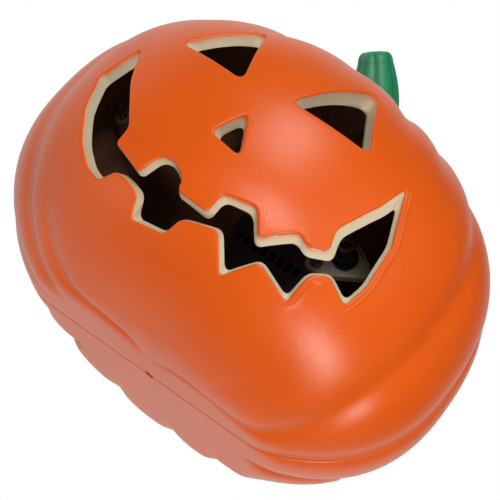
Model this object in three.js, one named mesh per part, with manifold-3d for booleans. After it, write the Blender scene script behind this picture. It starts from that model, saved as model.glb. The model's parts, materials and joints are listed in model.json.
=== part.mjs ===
// Light-up jack-o-lantern lamp: a hollow pumpkin of two moulded half shells with a cut-out face,
// a stem, and a battery light unit on the inside of the back shell.
// Millimetres. X to the right of the face's viewer, -Y to the front, +Z up. The pieces are laid out
// about the pumpkin's centre, in the plane where the half shells meet. The last step moves the
// origin to the plane that the lamp stands on, under the middle of its width and depth.

import * as THREE from 'three';
import { mergeVertices } from 'three/addons/utils/BufferGeometryUtils.js';
import Module from 'manifold-3d';

const kernel = await Module();
kernel.setup();

// Driving dimensions of the pumpkin
const halfWidth = 118.5;
const frontDepth = 119;
const backDepth = 137;
const crownHeight = 90;
const footHeight = 73;
// How much deeper the round belly would reach than the foot, if the foot weren't flat
const sideBelly = footHeight + 10;
const frontBelly = footHeight + 2;
const backBelly = footHeight + 12;
const fullness = 2.4;
const dimpleDepth = 10;
const dimpleSpread = 17;
const wall = 2.6;
const creaseWidth = 5.2;
const creaseFlank = 5;

// Fineness of the pumpkin's bodies: degrees of turn between points, and rows from crown to foot
const skinMesh = { step: 7, rows: 16 };
const liningMesh = { step: 12, rows: 10 };
const rimMesh = { step: 14, rows: 8 };

// Driving dimensions of the face
const rimDepth = 8.5;
const rimWall = 2.2;
const cornerRound = 3.2;

// Clearances
const seamGap = 0.3;
const fitGap = 0.3;
const doorGap = 0.6;
const slideGap = 0.5;

// How far a cutting body runs past the face that it cuts, in tight and in open places
const overcut = 1;
const longOvercut = 5;

// Sides of round bodies
const rodSides = 16;
const holeSides = 12;
const fineSides = 24;

// Seam between the two half shells
const lipReach = 3;
const lipWall = 1.1;
const drainSlotLength = 5;
const drainSlotWidth = 3;

// Screws
const screwRadius = 1.5;
const screwPoint = 1.5;
const screwHeadRadius = 3;
const screwHeadTop = 0.8;
const screwHeadHeight = 2.2;
const screwSides = 8;
const screwHole = screwRadius + fitGap;

// Bosses of the screws that hold the half shells together
const bossRadius = 5;
const bossDepth = 15;
const bossEnd = 2;
const bossRibReach = 15;
const bossRibWall = 2.4;
const tunnelRadius = 3.4;
const tunnelFloor = 8;
const shellScrewTip = 11;
const upperBossInset = 17.5;
const upperBossX = halfWidth - upperBossInset;
const upperBossZ = 30;
const lowerBossInset = 28.5;
const lowerBossRise = 29;
const lowerBossX = halfWidth - lowerBossInset;
const lowerBossZ = lowerBossRise - footHeight;

// Stem
const stemNeckRadius = 8;
const stemFlangeRadius = 11;
const stemFlangeHeight = 3;
const stemFootRadius = 17;
const stemFootRise = 5;
const stemTipRadius = 7.4;
const stemTaper = 4.2;
const stemRise = 47;
const stemLeanLeft = 11;
const stemLeanFront = 15;
const stemBendLean = 0.1;
const stemBendRise = 0.6;
const stemRibs = 7;
const stemRibDepth = 0.1;
const stemTwist = 0.5;
const stemTipBevel = 0.62;
const stemTipRise = 2.2;
const stemRings = 10;
const stemPointsPerRib = 4;
const stemHoleHalfLength = 20;

// Battery door
const doorHalfWidth = 31;
const doorTop = 27;
const doorBottom = -28;
const doorThickness = 2.4;
const doorSink = 15;
const doorOuterY = backDepth - doorSink;
const doorRimHeight = 3;
const doorRimWall = 2;
const doorRimInset = 6;
const doorRimDrop = 9;
const doorStubRadius = 1.1;
const doorStubReach = 1.6;
const doorStubRoot = 2;
const doorScrewDrop = 3.4;
const doorScrewBite = 2;
const doorScrewSink = 1.2;
const doorTab = 3;
const doorTabHalfWidth = 4;
const gripGrooves = 5;
const gripPitch = 3;
const gripWidth = 1.2;
const gripDepth = 0.8;
const gripHalfLength = 12;
const gripRise = 9;

// Battery case
const pocketWall = 2.2;
const pocketInset = 0.5;
const ledge = 1.6;
const caseDepth = 39;
const caseFrontY = backDepth - caseDepth;
const caseFrontWall = 2;
const caseBossRadius = 4;
const caseBossDepth = 10;
const caseWebHalfWidth = 1.5;
const earBossRadius = 4;
const earZ = 20;
const earSink = 25;
const earY = backDepth - earSink;
const earThickness = 2.8;
const earHalfHeight = 4.5;
const earHoleDepth = 8;
const earScrewTip = 6;

// Batteries and their contacts
const batteryLength = 50.5;
const batteryRadius = 7.25;
const batteryPitch = 16;
const batterySink = 28.5;
const batteryY = backDepth - batterySink;
const batteryShift = 2.6;
const batteryNubRadius = 2.8;
const batteryNubHeight = 1.1;
const batteryEdge = 0.7;
const contactThickness = 0.5;
const contactHalfWidth = 5.5;
const springWire = 0.4;
const springWireSides = 5;
const springRadius = 3.4;
const springTopRadius = 2.2;
const springTurns = 3;
const springPointsPerTurn = 8;
const springPlateGap = 0.1;
const springCellGap = 0.2;

// Light unit housing
const housingHalfWidth = 27;
const housingTop = 33;
const housingBottom = -25;
const housingFrontY = 30;
const housingWall = 2;
const housingScrewTip = 8;
const windowCount = 9;
const windowPitch = 5.2;
const windowWidth = 3;
const windowHeight = 5.4;
const windowZ = 21;
const lugReach = 12;
const lugHoleInset = 4;
const lugThickness = 2.7;
const lugHalfHeight = 5;

// Circuit board in the housing and what is on it
const boardY = 44;
const boardThickness = 1.6;
const boardHalfWidth = 22;
const boardHalfHeight = 17;
const boardPostRadius = 3;
const boardPostX = 18;
const boardScrewTip = 5;
const chipHalfWidth = 5;
const chipBottom = 2;
const chipHeight = 6;
const chipThickness = 3.1;
const capacitorX = 9;
const capacitorZ = -9;
const capacitorRadius = 3.2;
const capacitorLength = 10.7;

// Lamp bracket
const lampX = 32;
const lampZ = 40;
const bracketCorners = [[16.5, 24.6], [27, 24.6], [47.5, 36.4], [45.5, 43], [25, 55.5], [17.5, 52]];
const bracketThickness = 2.4;
const bracketRimHeight = 5;
const bracketRimWall = 1.84;
const bracketScrewX = 21.5;
const bracketScrewZ = 29.6;
const bracketScrewTip = 6.5;
const bracketBossRadius = 3.4;
const bracketBossDepth = 9;

// Lamp holder, bulb and leads
const holderRadius = 5.2;
const holderMouthWall = 1.3;
const holderMouthDepth = 6;
const holderCollarRadius = 6.8;
const holderCollar = 2.6;
const holderFront = 7;
const holderBack = 11;
const bulbRadius = 6.4;
const bulbNeckRadius = 2.2;
const bulbLength = 19;
const bulbRings = 8;
// The bulb's outline from tip to neck: how full it is, where its widest place lies and how far it narrows
const bulbFullness = 0.9;
const bulbTipShare = 0.1;
const bulbWidestPower = 0.8;
const bulbNarrowing = 0.82;
const bulbBaseRadius = 3.5;
const bulbBaseDepth = 4;
const bulbBaseTipRadius = 1.8;
const bulbBaseTip = 1.6;
const leadRadius = 0.8;
const leadSpread = 1.2;
const leadHoleInset = 6;
const leadHoleX = housingHalfWidth - leadHoleInset;
const leadHoleY = 48.6;
const leadHoleRadius = 3.4;
const leadSteps = 13;
// The leads' route: how far they start beside and below their hole, and how they bend over to the lamp
const leadStartAside = 6;
const leadStartDrop = 19;
const leadBendDrop = 7;
const leadExitRise = 1;
const leadSweep = 5;
const leadSweepDrop = 0.5;
const leadTurnBack = 3;

// Slide switch
const switchTurn = 166;
const switchTilt = 116;
const switchBodyLength = 15;
const switchBodyWidth = 8;
const switchBodyDepth = 7;
const switchGrooveDepth = 3;
const switchHollow = 2.4;
const knobLength = 5;
const knobWidth = 4;
const knobRise = 1.4;
const knobTravel = 4;
const knobGrooves = [-1.5, 0, 1.5];
const knobGrooveWidth = 0.7;
const knobGrooveDepth = 0.5;

// How far the pumpkin's centre is in front of the middle of the lamp's depth
const centreForward = 6.6;

// Outlines of the face as seen from the front, x and z of each corner
const leftEye = [[-45.4, 24.9], [-33.7, 39.8], [-21.6, 53.6], [-8.6, 18.8]];
const rightEye = [[12.9, 22.2], [21.2, 40.2], [31.9, 57.5], [48.8, 25.5]];
const nose = [[-3.8, -8.4], [3.3, 6.7], [12.4, -10.7]];
const mouth = [
  [-61.4, 16], [-69.7, -2.4], [-62.2, -20.3], [-52.5, -33.5], [-43.7, -40.8], [-35.9, -43.5],
  [-29.5, -38.4], [-23.7, -39], [-15.6, -41.5], [-14, -49.4], [2, -48], [5.8, -41.2],
  [21.1, -37], [29.2, -48.4], [40.6, -36.8], [55.6, -41], [58, -28.5], [63.9, -23.7],
  [73.8, -27.4], [76.4, -16], [75.2, 3.4], [66.5, 26], [64.1, 12.1], [57, -8.7],
  [59.2, -17.1], [52.2, -21.7], [47, -19.7], [35.5, -30.8], [29.1, -22.5], [15.5, -25.9],
  [14, -34.4], [-0.8, -33.9], [-1.8, -29.2], [-8.9, -25.3], [-14.9, -26.4], [-20, -35.4],
  [-36.3, -29.6], [-35.2, -22.1], [-51.5, -2],
];

// Creases between the pumpkin's lobes: turn in degrees from the front towards +X, depth in
// millimetres, and how much of that depth is left at the crown, at the belly and at the foot
const creases = [
  { turn: -57, depth: 3.2, crown: 1, belly: 0.8, foot: 1 },
  { turn: -34, depth: 3, crown: 0.4, belly: 0, foot: 1 },
  { turn: -15, depth: 2.6, crown: 1, belly: 0, foot: 0 },
  { turn: 6, depth: 2.6, crown: 1, belly: 0, foot: 0.5 },
  { turn: 41, depth: 2.8, crown: 1, belly: 0, foot: 0.4 },
  { turn: 67, depth: 2.6, crown: 1, belly: 0.9, foot: 0.8 },
  { turn: 88, depth: 3, crown: 1, belly: 0.9, foot: 0.9 },
  { turn: 116, depth: 4, crown: 0.9, belly: 1, foot: 1.2 },
  { turn: 148, depth: 4.4, crown: 0.9, belly: 1, foot: 1.4 },
  { turn: 184, depth: 4.4, crown: 0.9, belly: 0, foot: 1.4 },
  { turn: 222, depth: 4.4, crown: 0.9, belly: 1, foot: 1.4 },
  { turn: 256, depth: 4, crown: 0.9, belly: 1, foot: 1.2 },
  { turn: 283, depth: 3, crown: 1, belly: 0.8, foot: 1 },
];

const colours = {
  orange: 0xe0580f,
  cream: 0xd8c294,
  green: 0x279a62,
  darkGrey: 0x2b2826,
  black: 0x161616,
  steel: 0xb9bcc0,
  brass: 0xc9a24a,
  boardGreen: 0x1f5b3a,
  cellBody: 0x3c4248,
  glass: 0xf4dcae,
  red: 0xb3261e,
};

const bothSides = [{ side: -1, sideName: 'left' }, { side: 1, sideName: 'right' }];

const object = new THREE.Group();

function degrees(angle) {
  return angle * Math.PI / 180;
}

// Solids made with the boolean kernel

function solid(geometry) {
  const bare = geometry.index ? geometry.toNonIndexed() : geometry.clone();
  for (const name of Object.keys(bare.attributes)) {
    if (name !== 'position') {
      bare.deleteAttribute(name);
    }
  }
  const merged = mergeVertices(bare, 1e-4);
  return new kernel.Manifold(new kernel.Mesh({
    numProp: 3,
    vertProperties: new Float32Array(merged.attributes.position.array),
    triVerts: new Uint32Array(merged.index.array),
  }));
}

function meshedSolid(points, index) {
  const geometry = new THREE.BufferGeometry().setFromPoints(points);
  geometry.setIndex(index);
  return solid(geometry);
}

function surfaceOf(body) {
  const mesh = body.getMesh();
  const geometry = new THREE.BufferGeometry();
  geometry.setAttribute('position', new THREE.BufferAttribute(new Float32Array(mesh.vertProperties), 3));
  geometry.setIndex(new THREE.BufferAttribute(new Uint32Array(mesh.triVerts), 1));
  return geometry;
}

function addPart(name, body, colour, roughness, metalness = 0) {
  const material = new THREE.MeshStandardMaterial({ color: colour, roughness, metalness });
  const mesh = new THREE.Mesh(surfaceOf(body), material);
  mesh.name = name;
  object.add(mesh);
}

function joined(bodies) {
  return bodies.reduce((sum, body) => sum.add(body));
}

function without(body, cutters) {
  return cutters.reduce((left, cutter) => left.subtract(cutter), body);
}

function boxGeometry(x0, x1, y0, y1, z0, z1) {
  const geometry = new THREE.BoxGeometry(Math.abs(x1 - x0), y1 - y0, z1 - z0);
  geometry.translate((x0 + x1) / 2, (y0 + y1) / 2, (z0 + z1) / 2);
  return geometry;
}

function box(x0, x1, y0, y1, z0, z1) {
  return solid(boxGeometry(x0, x1, y0, y1, z0, z1));
}

function boxInFrame(frame, x0, x1, y0, y1, z0, z1) {
  return solid(boxGeometry(x0, x1, y0, y1, z0, z1).applyMatrix4(frame));
}

function rodAlongY(x, z, y0, y1, radius, sides = rodSides) {
  const geometry = new THREE.CylinderGeometry(radius, radius, y1 - y0, sides);
  geometry.translate(x, (y0 + y1) / 2, z);
  return solid(geometry);
}

function rodAlongX(y, z, x0, x1, radius, sides = rodSides) {
  const geometry = new THREE.CylinderGeometry(radius, radius, Math.abs(x1 - x0), sides);
  geometry.rotateZ(Math.PI / 2);
  geometry.translate((x0 + x1) / 2, y, z);
  return solid(geometry);
}

function rodAlongZ(x, y, z0, z1, radius, sides = rodSides) {
  const geometry = new THREE.CylinderGeometry(radius, radius, z1 - z0, sides);
  geometry.rotateX(Math.PI / 2);
  geometry.translate(x, y, (z0 + z1) / 2);
  return solid(geometry);
}

function latheGeometry(profile, sides) {
  return new THREE.LatheGeometry(profile.map(([r, y]) => new THREE.Vector2(r, y)), sides);
}

function latheAlongY(x, z, profile, sides = rodSides) {
  return solid(latheGeometry(profile, sides).translate(x, 0, z));
}

function extrudedAlongY(outline, holes, y0, y1) {
  const shape = new THREE.Shape(outline);
  holes.forEach((hole) => shape.holes.push(new THREE.Path(hole)));
  const geometry = new THREE.ExtrudeGeometry(shape, { depth: y1 - y0, bevelEnabled: false });
  geometry.rotateX(Math.PI / 2);
  geometry.translate(0, y1, 0);
  return solid(geometry);
}

function screwAlongY(x, z, headY, tipY) {
  // The underside of the head is at headY and the point at tipY
  const length = Math.abs(tipY - headY);
  const geometry = latheGeometry([
    [0, -screwHeadHeight], [screwHeadRadius * screwHeadTop, -screwHeadHeight], [screwHeadRadius, 0],
    [screwRadius, 0], [screwRadius, length - screwPoint], [0, length],
  ], screwSides);
  if (tipY < headY) {
    geometry.rotateX(Math.PI);
  }
  return solid(geometry.translate(x, headY, z));
}

// The pumpkin's outer form

function turnDistance(a, b) {
  const difference = Math.abs(a - b) % 360;
  return Math.min(difference, 360 - difference);
}

function creaseShare(crease, tilt) {
  // Blends the crown, belly and foot shares over the height of the body
  const towardsCrown = 1 - THREE.MathUtils.smoothstep(tilt, 30, 62);
  const towardsFoot = THREE.MathUtils.smoothstep(tilt, 112, 142);
  const belly = 1 - towardsCrown - towardsFoot;
  return crease.crown * towardsCrown + crease.belly * belly + crease.foot * towardsFoot;
}

function creaseDrop(turn, tilt) {
  // The creases fade out where they run together at the crown
  const fade = THREE.MathUtils.smoothstep(tilt, 4, 20);
  let drop = 0;
  for (const crease of creases) {
    const away = turnDistance(turn, crease.turn) / creaseWidth;
    const profile = 0.6 * Math.exp(-away * away) + 0.4 * Math.exp(-away * away / creaseFlank);
    drop += crease.depth * creaseShare(crease, tilt) * profile;
  }
  return drop * fade;
}

function direction(turn, tilt) {
  const a = degrees(turn);
  const t = degrees(tilt);
  return new THREE.Vector3(Math.sin(a) * Math.sin(t), -Math.cos(a) * Math.sin(t), Math.cos(t));
}

function bodyRadius(turn, tilt, creased = true) {
  const d = direction(turn, tilt);
  const depth = d.y < 0 ? frontDepth : backDepth;
  const belly = d.y < 0 ? frontBelly : backBelly;
  const across = Math.hypot(d.x / halfWidth, d.y / depth);
  const share = Math.cos(degrees(turn)) ** 2;
  const height = d.z > 0 ? crownHeight : sideBelly + (belly - sideBelly) * share;
  const free = (across ** fullness + Math.abs(d.z / height) ** fullness) ** (-1 / fullness);
  const dimple = dimpleDepth * Math.exp(-((tilt / dimpleSpread) ** 2));
  return free - dimple - (creased ? creaseDrop(turn, tilt) : 0);
}

function freePoint(turn, tilt, creased = true) {
  return direction(turn, tilt).multiplyScalar(bodyRadius(turn, tilt, creased));
}

function freeNormal(turn, tilt, creased = true) {
  const step = 0.4;
  const steep = THREE.MathUtils.clamp(tilt, 1, 179);
  const east = freePoint(turn + step, steep, creased).sub(freePoint(turn - step, steep, creased));
  const south = freePoint(turn, steep + step, creased).sub(freePoint(turn, steep - step, creased));
  return south.cross(east).normalize();
}

function insetPoint(turn, tilt, inset, creased = true) {
  const point = freePoint(turn, tilt, creased);
  return inset === 0 ? point : point.addScaledVector(freeNormal(turn, tilt, creased), -inset);
}

function footTilt(turn, inset, creased) {
  // Tilt at which the inset body comes down to the plane that it stands on
  let high = 100;
  let low = 179;
  for (let i = 0; i < 30; i += 1) {
    const middle = (high + low) / 2;
    if (insetPoint(turn, middle, inset, creased).z > -(footHeight - inset)) {
      high = middle;
    } else {
      low = middle;
    }
  }
  return (high + low) / 2;
}

function turnsBetweenCreases(step) {
  const turns = [];
  const sorted = creases.map((crease) => crease.turn).sort((a, b) => a - b);
  sorted.forEach((start, index) => {
    const end = index + 1 < sorted.length ? sorted[index + 1] : sorted[0] + 360;
    const count = Math.max(2, 2 * Math.round((end - start) / step / 2));
    for (let i = 0; i < count; i += 1) {
      turns.push(start + (end - start) * i / count);
    }
  });
  return turns;
}

function pumpkinBody(inset, { step, rows }, creased = true) {
  const turns = turnsBetweenCreases(step);
  const count = turns.length;
  const footRings = [0.66, 0.33];
  const points = [insetPoint(0, 0, inset, creased)];
  points[0].setX(0).setY(0);
  const feet = turns.map((turn) => footTilt(turn, inset, creased));
  for (let row = 1; row <= rows; row += 1) {
    turns.forEach((turn, i) => points.push(insetPoint(turn, feet[i] * row / rows, inset, creased)));
  }
  const edge = points.slice(-count);
  const footZ = -(footHeight - inset);
  edge.forEach((point) => point.setZ(footZ));
  for (const share of footRings) {
    edge.forEach((point) => points.push(new THREE.Vector3(point.x * share, point.y * share, footZ)));
  }
  points.push(new THREE.Vector3(0, 0, footZ));
  const rings = rows + footRings.length;
  const index = [];
  const at = (ring, i) => 1 + ring * count + (i % count);
  for (let i = 0; i < count; i += 1) {
    index.push(0, at(0, i), at(0, i + 1));
    index.push(points.length - 1, at(rings - 1, i + 1), at(rings - 1, i));
    for (let ring = 0; ring < rings - 1; ring += 1) {
      index.push(at(ring, i), at(ring + 1, i), at(ring + 1, i + 1));
      index.push(at(ring, i), at(ring + 1, i + 1), at(ring, i + 1));
    }
  }
  const geometry = new THREE.BufferGeometry().setFromPoints(points);
  geometry.setIndex(index);
  return solid(geometry);
}

// The face

function anglesOf(point) {
  return {
    turn: THREE.MathUtils.radToDeg(Math.atan2(point.x, -point.y)),
    tilt: THREE.MathUtils.radToDeg(Math.acos(point.z / point.length())),
  };
}

function facePoint(x, z) {
  // The point of the smooth front at this x and z, found by halving
  let outside = -frontDepth - 5;
  let inside = 0;
  for (let i = 0; i < 30; i += 1) {
    const point = new THREE.Vector3(x, (outside + inside) / 2, z);
    const { turn, tilt } = anglesOf(point);
    if (point.length() > bodyRadius(turn, tilt, false)) {
      outside = point.y;
    } else {
      inside = point.y;
    }
  }
  return new THREE.Vector3(x, (outside + inside) / 2, z);
}

function roundedOutline(corners, steps) {
  const points = [];
  corners.forEach(([x, z], i) => {
    const corner = new THREE.Vector2(x, z);
    const before = new THREE.Vector2(...corners[(i + corners.length - 1) % corners.length]);
    const after = new THREE.Vector2(...corners[(i + 1) % corners.length]);
    const cutBefore = Math.min(cornerRound, corner.distanceTo(before) * 0.46);
    const cutAfter = Math.min(cornerRound, corner.distanceTo(after) * 0.46);
    const start = corner.clone().lerp(before, cutBefore / corner.distanceTo(before));
    const end = corner.clone().lerp(after, cutAfter / corner.distanceTo(after));
    points.push(...new THREE.QuadraticBezierCurve(start, corner, end).getPoints(steps));
  });
  return points;
}

function rimRing(outline, grow, depth) {
  // The outline on the front, spread by grow along the surface and moved in by depth
  const onFront = outline.map((point) => facePoint(point.x, point.y));
  return onFront.map((point, i) => {
    const { turn, tilt } = anglesOf(point);
    const normal = freeNormal(turn, tilt, false);
    const before = onFront[(i + onFront.length - 1) % onFront.length];
    const after = onFront[(i + 1) % onFront.length];
    const sideBefore = point.clone().sub(before).cross(normal).normalize();
    const sideAfter = after.clone().sub(point).cross(normal).normalize();
    const side = sideBefore.clone().add(sideAfter).normalize();
    const stretch = 1 / Math.max(0.5, side.dot(sideAfter));
    return point.clone().addScaledVector(side, grow * stretch).addScaledVector(normal, -depth);
  });
}

function openingBody(corners, grow, outerDepth, innerDepth) {
  const outline = roundedOutline(corners, corners.length > 4 ? 1 : 3);
  if (THREE.ShapeUtils.isClockWise(outline)) {
    outline.reverse();
  }
  const count = outline.length;
  // Seen from the front the outline runs counterclockwise, so its sides point away from the opening
  const outer = rimRing(outline, grow, outerDepth);
  const inner = rimRing(outline, grow, innerDepth);
  const geometry = new THREE.BufferGeometry().setFromPoints([...outer, ...inner]);
  const cap = THREE.ShapeUtils.triangulateShape(outline, []);
  const index = [];
  for (const [a, b, c] of cap) {
    index.push(a, b, c);
    index.push(count + a, count + c, count + b);
  }
  for (let i = 0; i < count; i += 1) {
    const next = (i + 1) % count;
    index.push(i, count + i, count + next);
    index.push(i, count + next, next);
  }
  geometry.setIndex(index);
  return solid(geometry);
}

// Bodies that the half shells are cut from

const outerBody = pumpkinBody(0, skinMesh);
const innerBody = pumpkinBody(wall, liningMesh);
const middleBody = pumpkinBody(wall / 2, liningMesh);
const rimBody = pumpkinBody(rimDepth, rimMesh, false);
const lipOuterBody = pumpkinBody(wall - lipWall, liningMesh);
const lipRoomBody = pumpkinBody(wall - lipWall - fitGap, liningMesh);
const faceOutlines = [leftEye, rightEye, nose, mouth];
const reach = 2 * backDepth;
const frontHalf = box(-reach, reach, -reach, -seamGap / 2, -reach, reach);
const backHalf = box(-reach, reach, seamGap / 2, reach, -reach, reach);
const crownZ = insetPoint(0, 0, 0).z;
const bossPlaces = [
  [upperBossX, upperBossZ], [-upperBossX, upperBossZ], [lowerBossX, lowerBossZ], [-lowerBossX, lowerBossZ],
];

function stemHole() {
  return rodAlongZ(0, 0, crownZ - stemHoleHalfLength, crownZ + stemHoleHalfLength,
    stemNeckRadius + fitGap, fineSides);
}

function drainSlot() {
  return box(-drainSlotLength / 2, drainSlotLength / 2, -drainSlotWidth / 2, drainSlotWidth / 2,
    -footHeight - longOvercut, -footHeight + wall + longOvercut);
}

// Front half shell

function faceRims() {
  return faceOutlines.map((outline) => openingBody(outline, rimWall, -longOvercut, rimDepth + longOvercut)
    .intersect(middleBody).subtract(rimBody));
}

function faceCutters() {
  // Longer than the rims, so that nothing of a rim is left across its opening
  return faceOutlines.map((outline) => openingBody(outline, 0, -longOvercut - overcut,
    rimDepth + longOvercut + overcut));
}

function frontBosses() {
  return bossPlaces.map(([x, z]) => rodAlongY(x, z, -bossDepth, 0, bossRadius)
    .add(box(x, x + Math.sign(x) * bossRibReach, -bossDepth, 0, z - bossRibWall / 2, z + bossRibWall / 2))
    .intersect(middleBody));
}

function seamLip() {
  return lipOuterBody.subtract(innerBody)
    .intersect(box(-reach, reach, -lipReach, lipReach - seamGap, -reach, reach));
}

function makeFrontShell() {
  const skin = outerBody.subtract(innerBody);
  const body = joined([skin, ...faceRims(), ...frontBosses()]).intersect(frontHalf).add(seamLip());
  const screwHoles = bossPlaces.map(([x, z]) => rodAlongY(x, z, -bossDepth + bossEnd, lipReach,
    screwHole, holeSides));
  // The lip stops short of the back shell's bosses
  const lipNotches = bossPlaces.map(([x, z]) => rodAlongY(x, z, -seamGap / 2, lipReach, bossRadius + fitGap));
  return without(body, [...faceCutters(), ...screwHoles, ...lipNotches, stemHole(), drainSlot()]);
}

// Places that the battery case, the light unit and the door share

const caseHalfWidth = doorHalfWidth + doorGap + pocketWall;
const caseTop = doorTop + doorGap + pocketWall;
const caseBottom = doorBottom - doorGap - pocketWall;
const bayHalfWidth = doorHalfWidth - ledge;
const bayTop = doorTop - ledge;
const bayBottom = doorBottom + ledge;
const bayMiddle = (bayTop + bayBottom) / 2;
const doorInnerY = doorOuterY - doorThickness;
const doorSeatY = doorInnerY - fitGap;
const doorBarrelRadius = doorThickness / 2;
const stubZ = doorBottom + doorBarrelRadius;
const stubY = doorOuterY - doorBarrelRadius;
const doorScrewZ = doorTop - doorScrewDrop;
const earX = caseHalfWidth + bossRadius;
const earPlaces = [[earX, earZ], [-earX, earZ], [earX, -earZ], [-earX, -earZ]];
const earFrontY = earY - fitGap - earThickness;
const housingBackY = caseFrontY - fitGap;
const lugCentreX = housingHalfWidth + lugReach - lugHoleInset;

// Switch place: local z points out of the pumpkin and local y up along its surface

function surfaceFrame(turn, tilt) {
  const out = freeNormal(turn, tilt);
  const up = new THREE.Vector3(0, 0, 1).addScaledVector(out, -out.z).normalize();
  const side = up.clone().cross(out);
  return new THREE.Matrix4().makeBasis(side, up, out).setPosition(freePoint(turn, tilt));
}

const switchFrame = surfaceFrame(switchTurn, switchTilt);
const slotHalfLength = (knobLength + knobTravel) / 2 + slideGap;
const slotHalfWidth = knobWidth / 2 + slideGap;
const switchTop = -wall - fitGap - switchHollow;

function switchSlot(bottom, top) {
  return boxInFrame(switchFrame, -slotHalfWidth, slotHalfWidth, -slotHalfLength, slotHalfLength, bottom, top);
}

// Back half shell

function backBosses() {
  return bossPlaces.map(([x, z]) => rodAlongY(x, z, 0, backDepth, bossRadius).intersect(middleBody));
}

function earBosses() {
  return earPlaces.map(([x, z]) => rodAlongY(x, z, earY, backDepth, earBossRadius).intersect(middleBody));
}

function caseWindow() {
  return box(-caseHalfWidth - fitGap, caseHalfWidth + fitGap, earY, backDepth + longOvercut,
    caseBottom - fitGap, caseTop + fitGap);
}

function makeBackShell() {
  const lipRoom = lipRoomBody.intersect(box(-reach, reach, 0, lipReach, -reach, reach));
  const skin = outerBody.subtract(innerBody).intersect(backHalf).subtract(lipRoom);
  const bosses = joined([...backBosses(), ...earBosses()]).intersect(backHalf);
  const tunnels = bossPlaces.map(([x, z]) => rodAlongY(x, z, tunnelFloor, backDepth, tunnelRadius,
    holeSides));
  const screwHoles = bossPlaces.map(([x, z]) => rodAlongY(x, z, 0, backDepth, screwHole, holeSides));
  const earHoles = earPlaces.map(([x, z]) => rodAlongY(x, z, earY - overcut, earY + earHoleDepth,
    screwHole, holeSides));
  const slot = switchSlot(-wall - longOvercut, longOvercut);
  return without(skin.add(bosses), [
    ...tunnels, ...screwHoles, ...earHoles, caseWindow(), stemHole(), drainSlot(), slot,
  ]);
}

// Stem

function stemCentre(share) {
  const foot = new THREE.Vector3(0, 0, crownZ + stemFootRise);
  const bend = new THREE.Vector3(-stemLeanLeft * stemBendLean, -stemLeanFront * stemBendLean,
    crownZ + stemRise * stemBendRise);
  const tip = new THREE.Vector3(-stemLeanLeft, -stemLeanFront, crownZ + stemRise);
  return new THREE.QuadraticBezierCurve3(foot, bend, tip).getPoint(share);
}

function stemRadius(share) {
  const flare = (stemFootRadius - stemTipRadius - stemTaper) * (1 - share) ** 3;
  return stemTipRadius + stemTaper * (1 - share) + flare;
}

function stemRing(ring, count) {
  // The last ring is the edge of the cut end: narrower and a little higher than the one before
  const last = ring === stemRings;
  const share = Math.min(1, ring / (stemRings - 1));
  const along = stemCentre(Math.min(1, share + 0.01)).sub(stemCentre(Math.min(0.99, share))).normalize();
  const centre = stemCentre(share).addScaledVector(along, last ? stemTipRise : 0);
  const level = new THREE.Vector3(0, 0, 1).lerp(along, Math.min(1, share * 3)).normalize();
  const right = new THREE.Vector3(1, 0, 0).addScaledVector(level, -level.x).normalize();
  const ahead = level.clone().cross(right);
  return Array.from({ length: count }, (_, i) => {
    const turn = 2 * Math.PI * i / count;
    const rib = 1 + stemRibDepth * Math.cos(stemRibs * turn);
    const radius = stemRadius(share) * rib * (last ? stemTipBevel : 1);
    const twisted = turn + share * stemTwist;
    return centre.clone().addScaledVector(right, Math.cos(twisted) * radius)
      .addScaledVector(ahead, Math.sin(twisted) * radius);
  });
}

function makeStem() {
  const count = stemPointsPerRib * stemRibs;
  const points = [];
  for (let ring = 0; ring <= stemRings; ring += 1) {
    points.push(...stemRing(ring, count));
  }
  const top = points.length;
  const topStart = stemRings * count;
  points.push(middleOf(points.slice(topStart)), middleOf(points.slice(0, count)));
  const index = [];
  for (let i = 0; i < count; i += 1) {
    const next = (i + 1) % count;
    for (let low = 0; low < topStart; low += count) {
      const high = low + count;
      index.push(low + i, low + next, high + next, low + i, high + next, high + i);
    }
    index.push(top, topStart + i, topStart + next);
    index.push(top + 1, next, i);
  }
  return meshedSolid(points, index).add(stemSpigot());
}

function middleOf(points) {
  return points.reduce((sum, point) => sum.add(point), new THREE.Vector3()).divideScalar(points.length);
}

function stemSpigot() {
  // Neck through the shells' hole and flange under their wall
  const flangeTop = crownZ - wall - fitGap;
  const neckTop = crownZ + stemFootRise + overcut;
  return solid(latheGeometry([
    [0, flangeTop - stemFlangeHeight], [stemFlangeRadius, flangeTop - stemFlangeHeight],
    [stemFlangeRadius, flangeTop], [stemNeckRadius, flangeTop], [stemNeckRadius, neckTop], [0, neckTop],
  ], fineSides).rotateX(Math.PI / 2));
}

// Battery case and door

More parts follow.
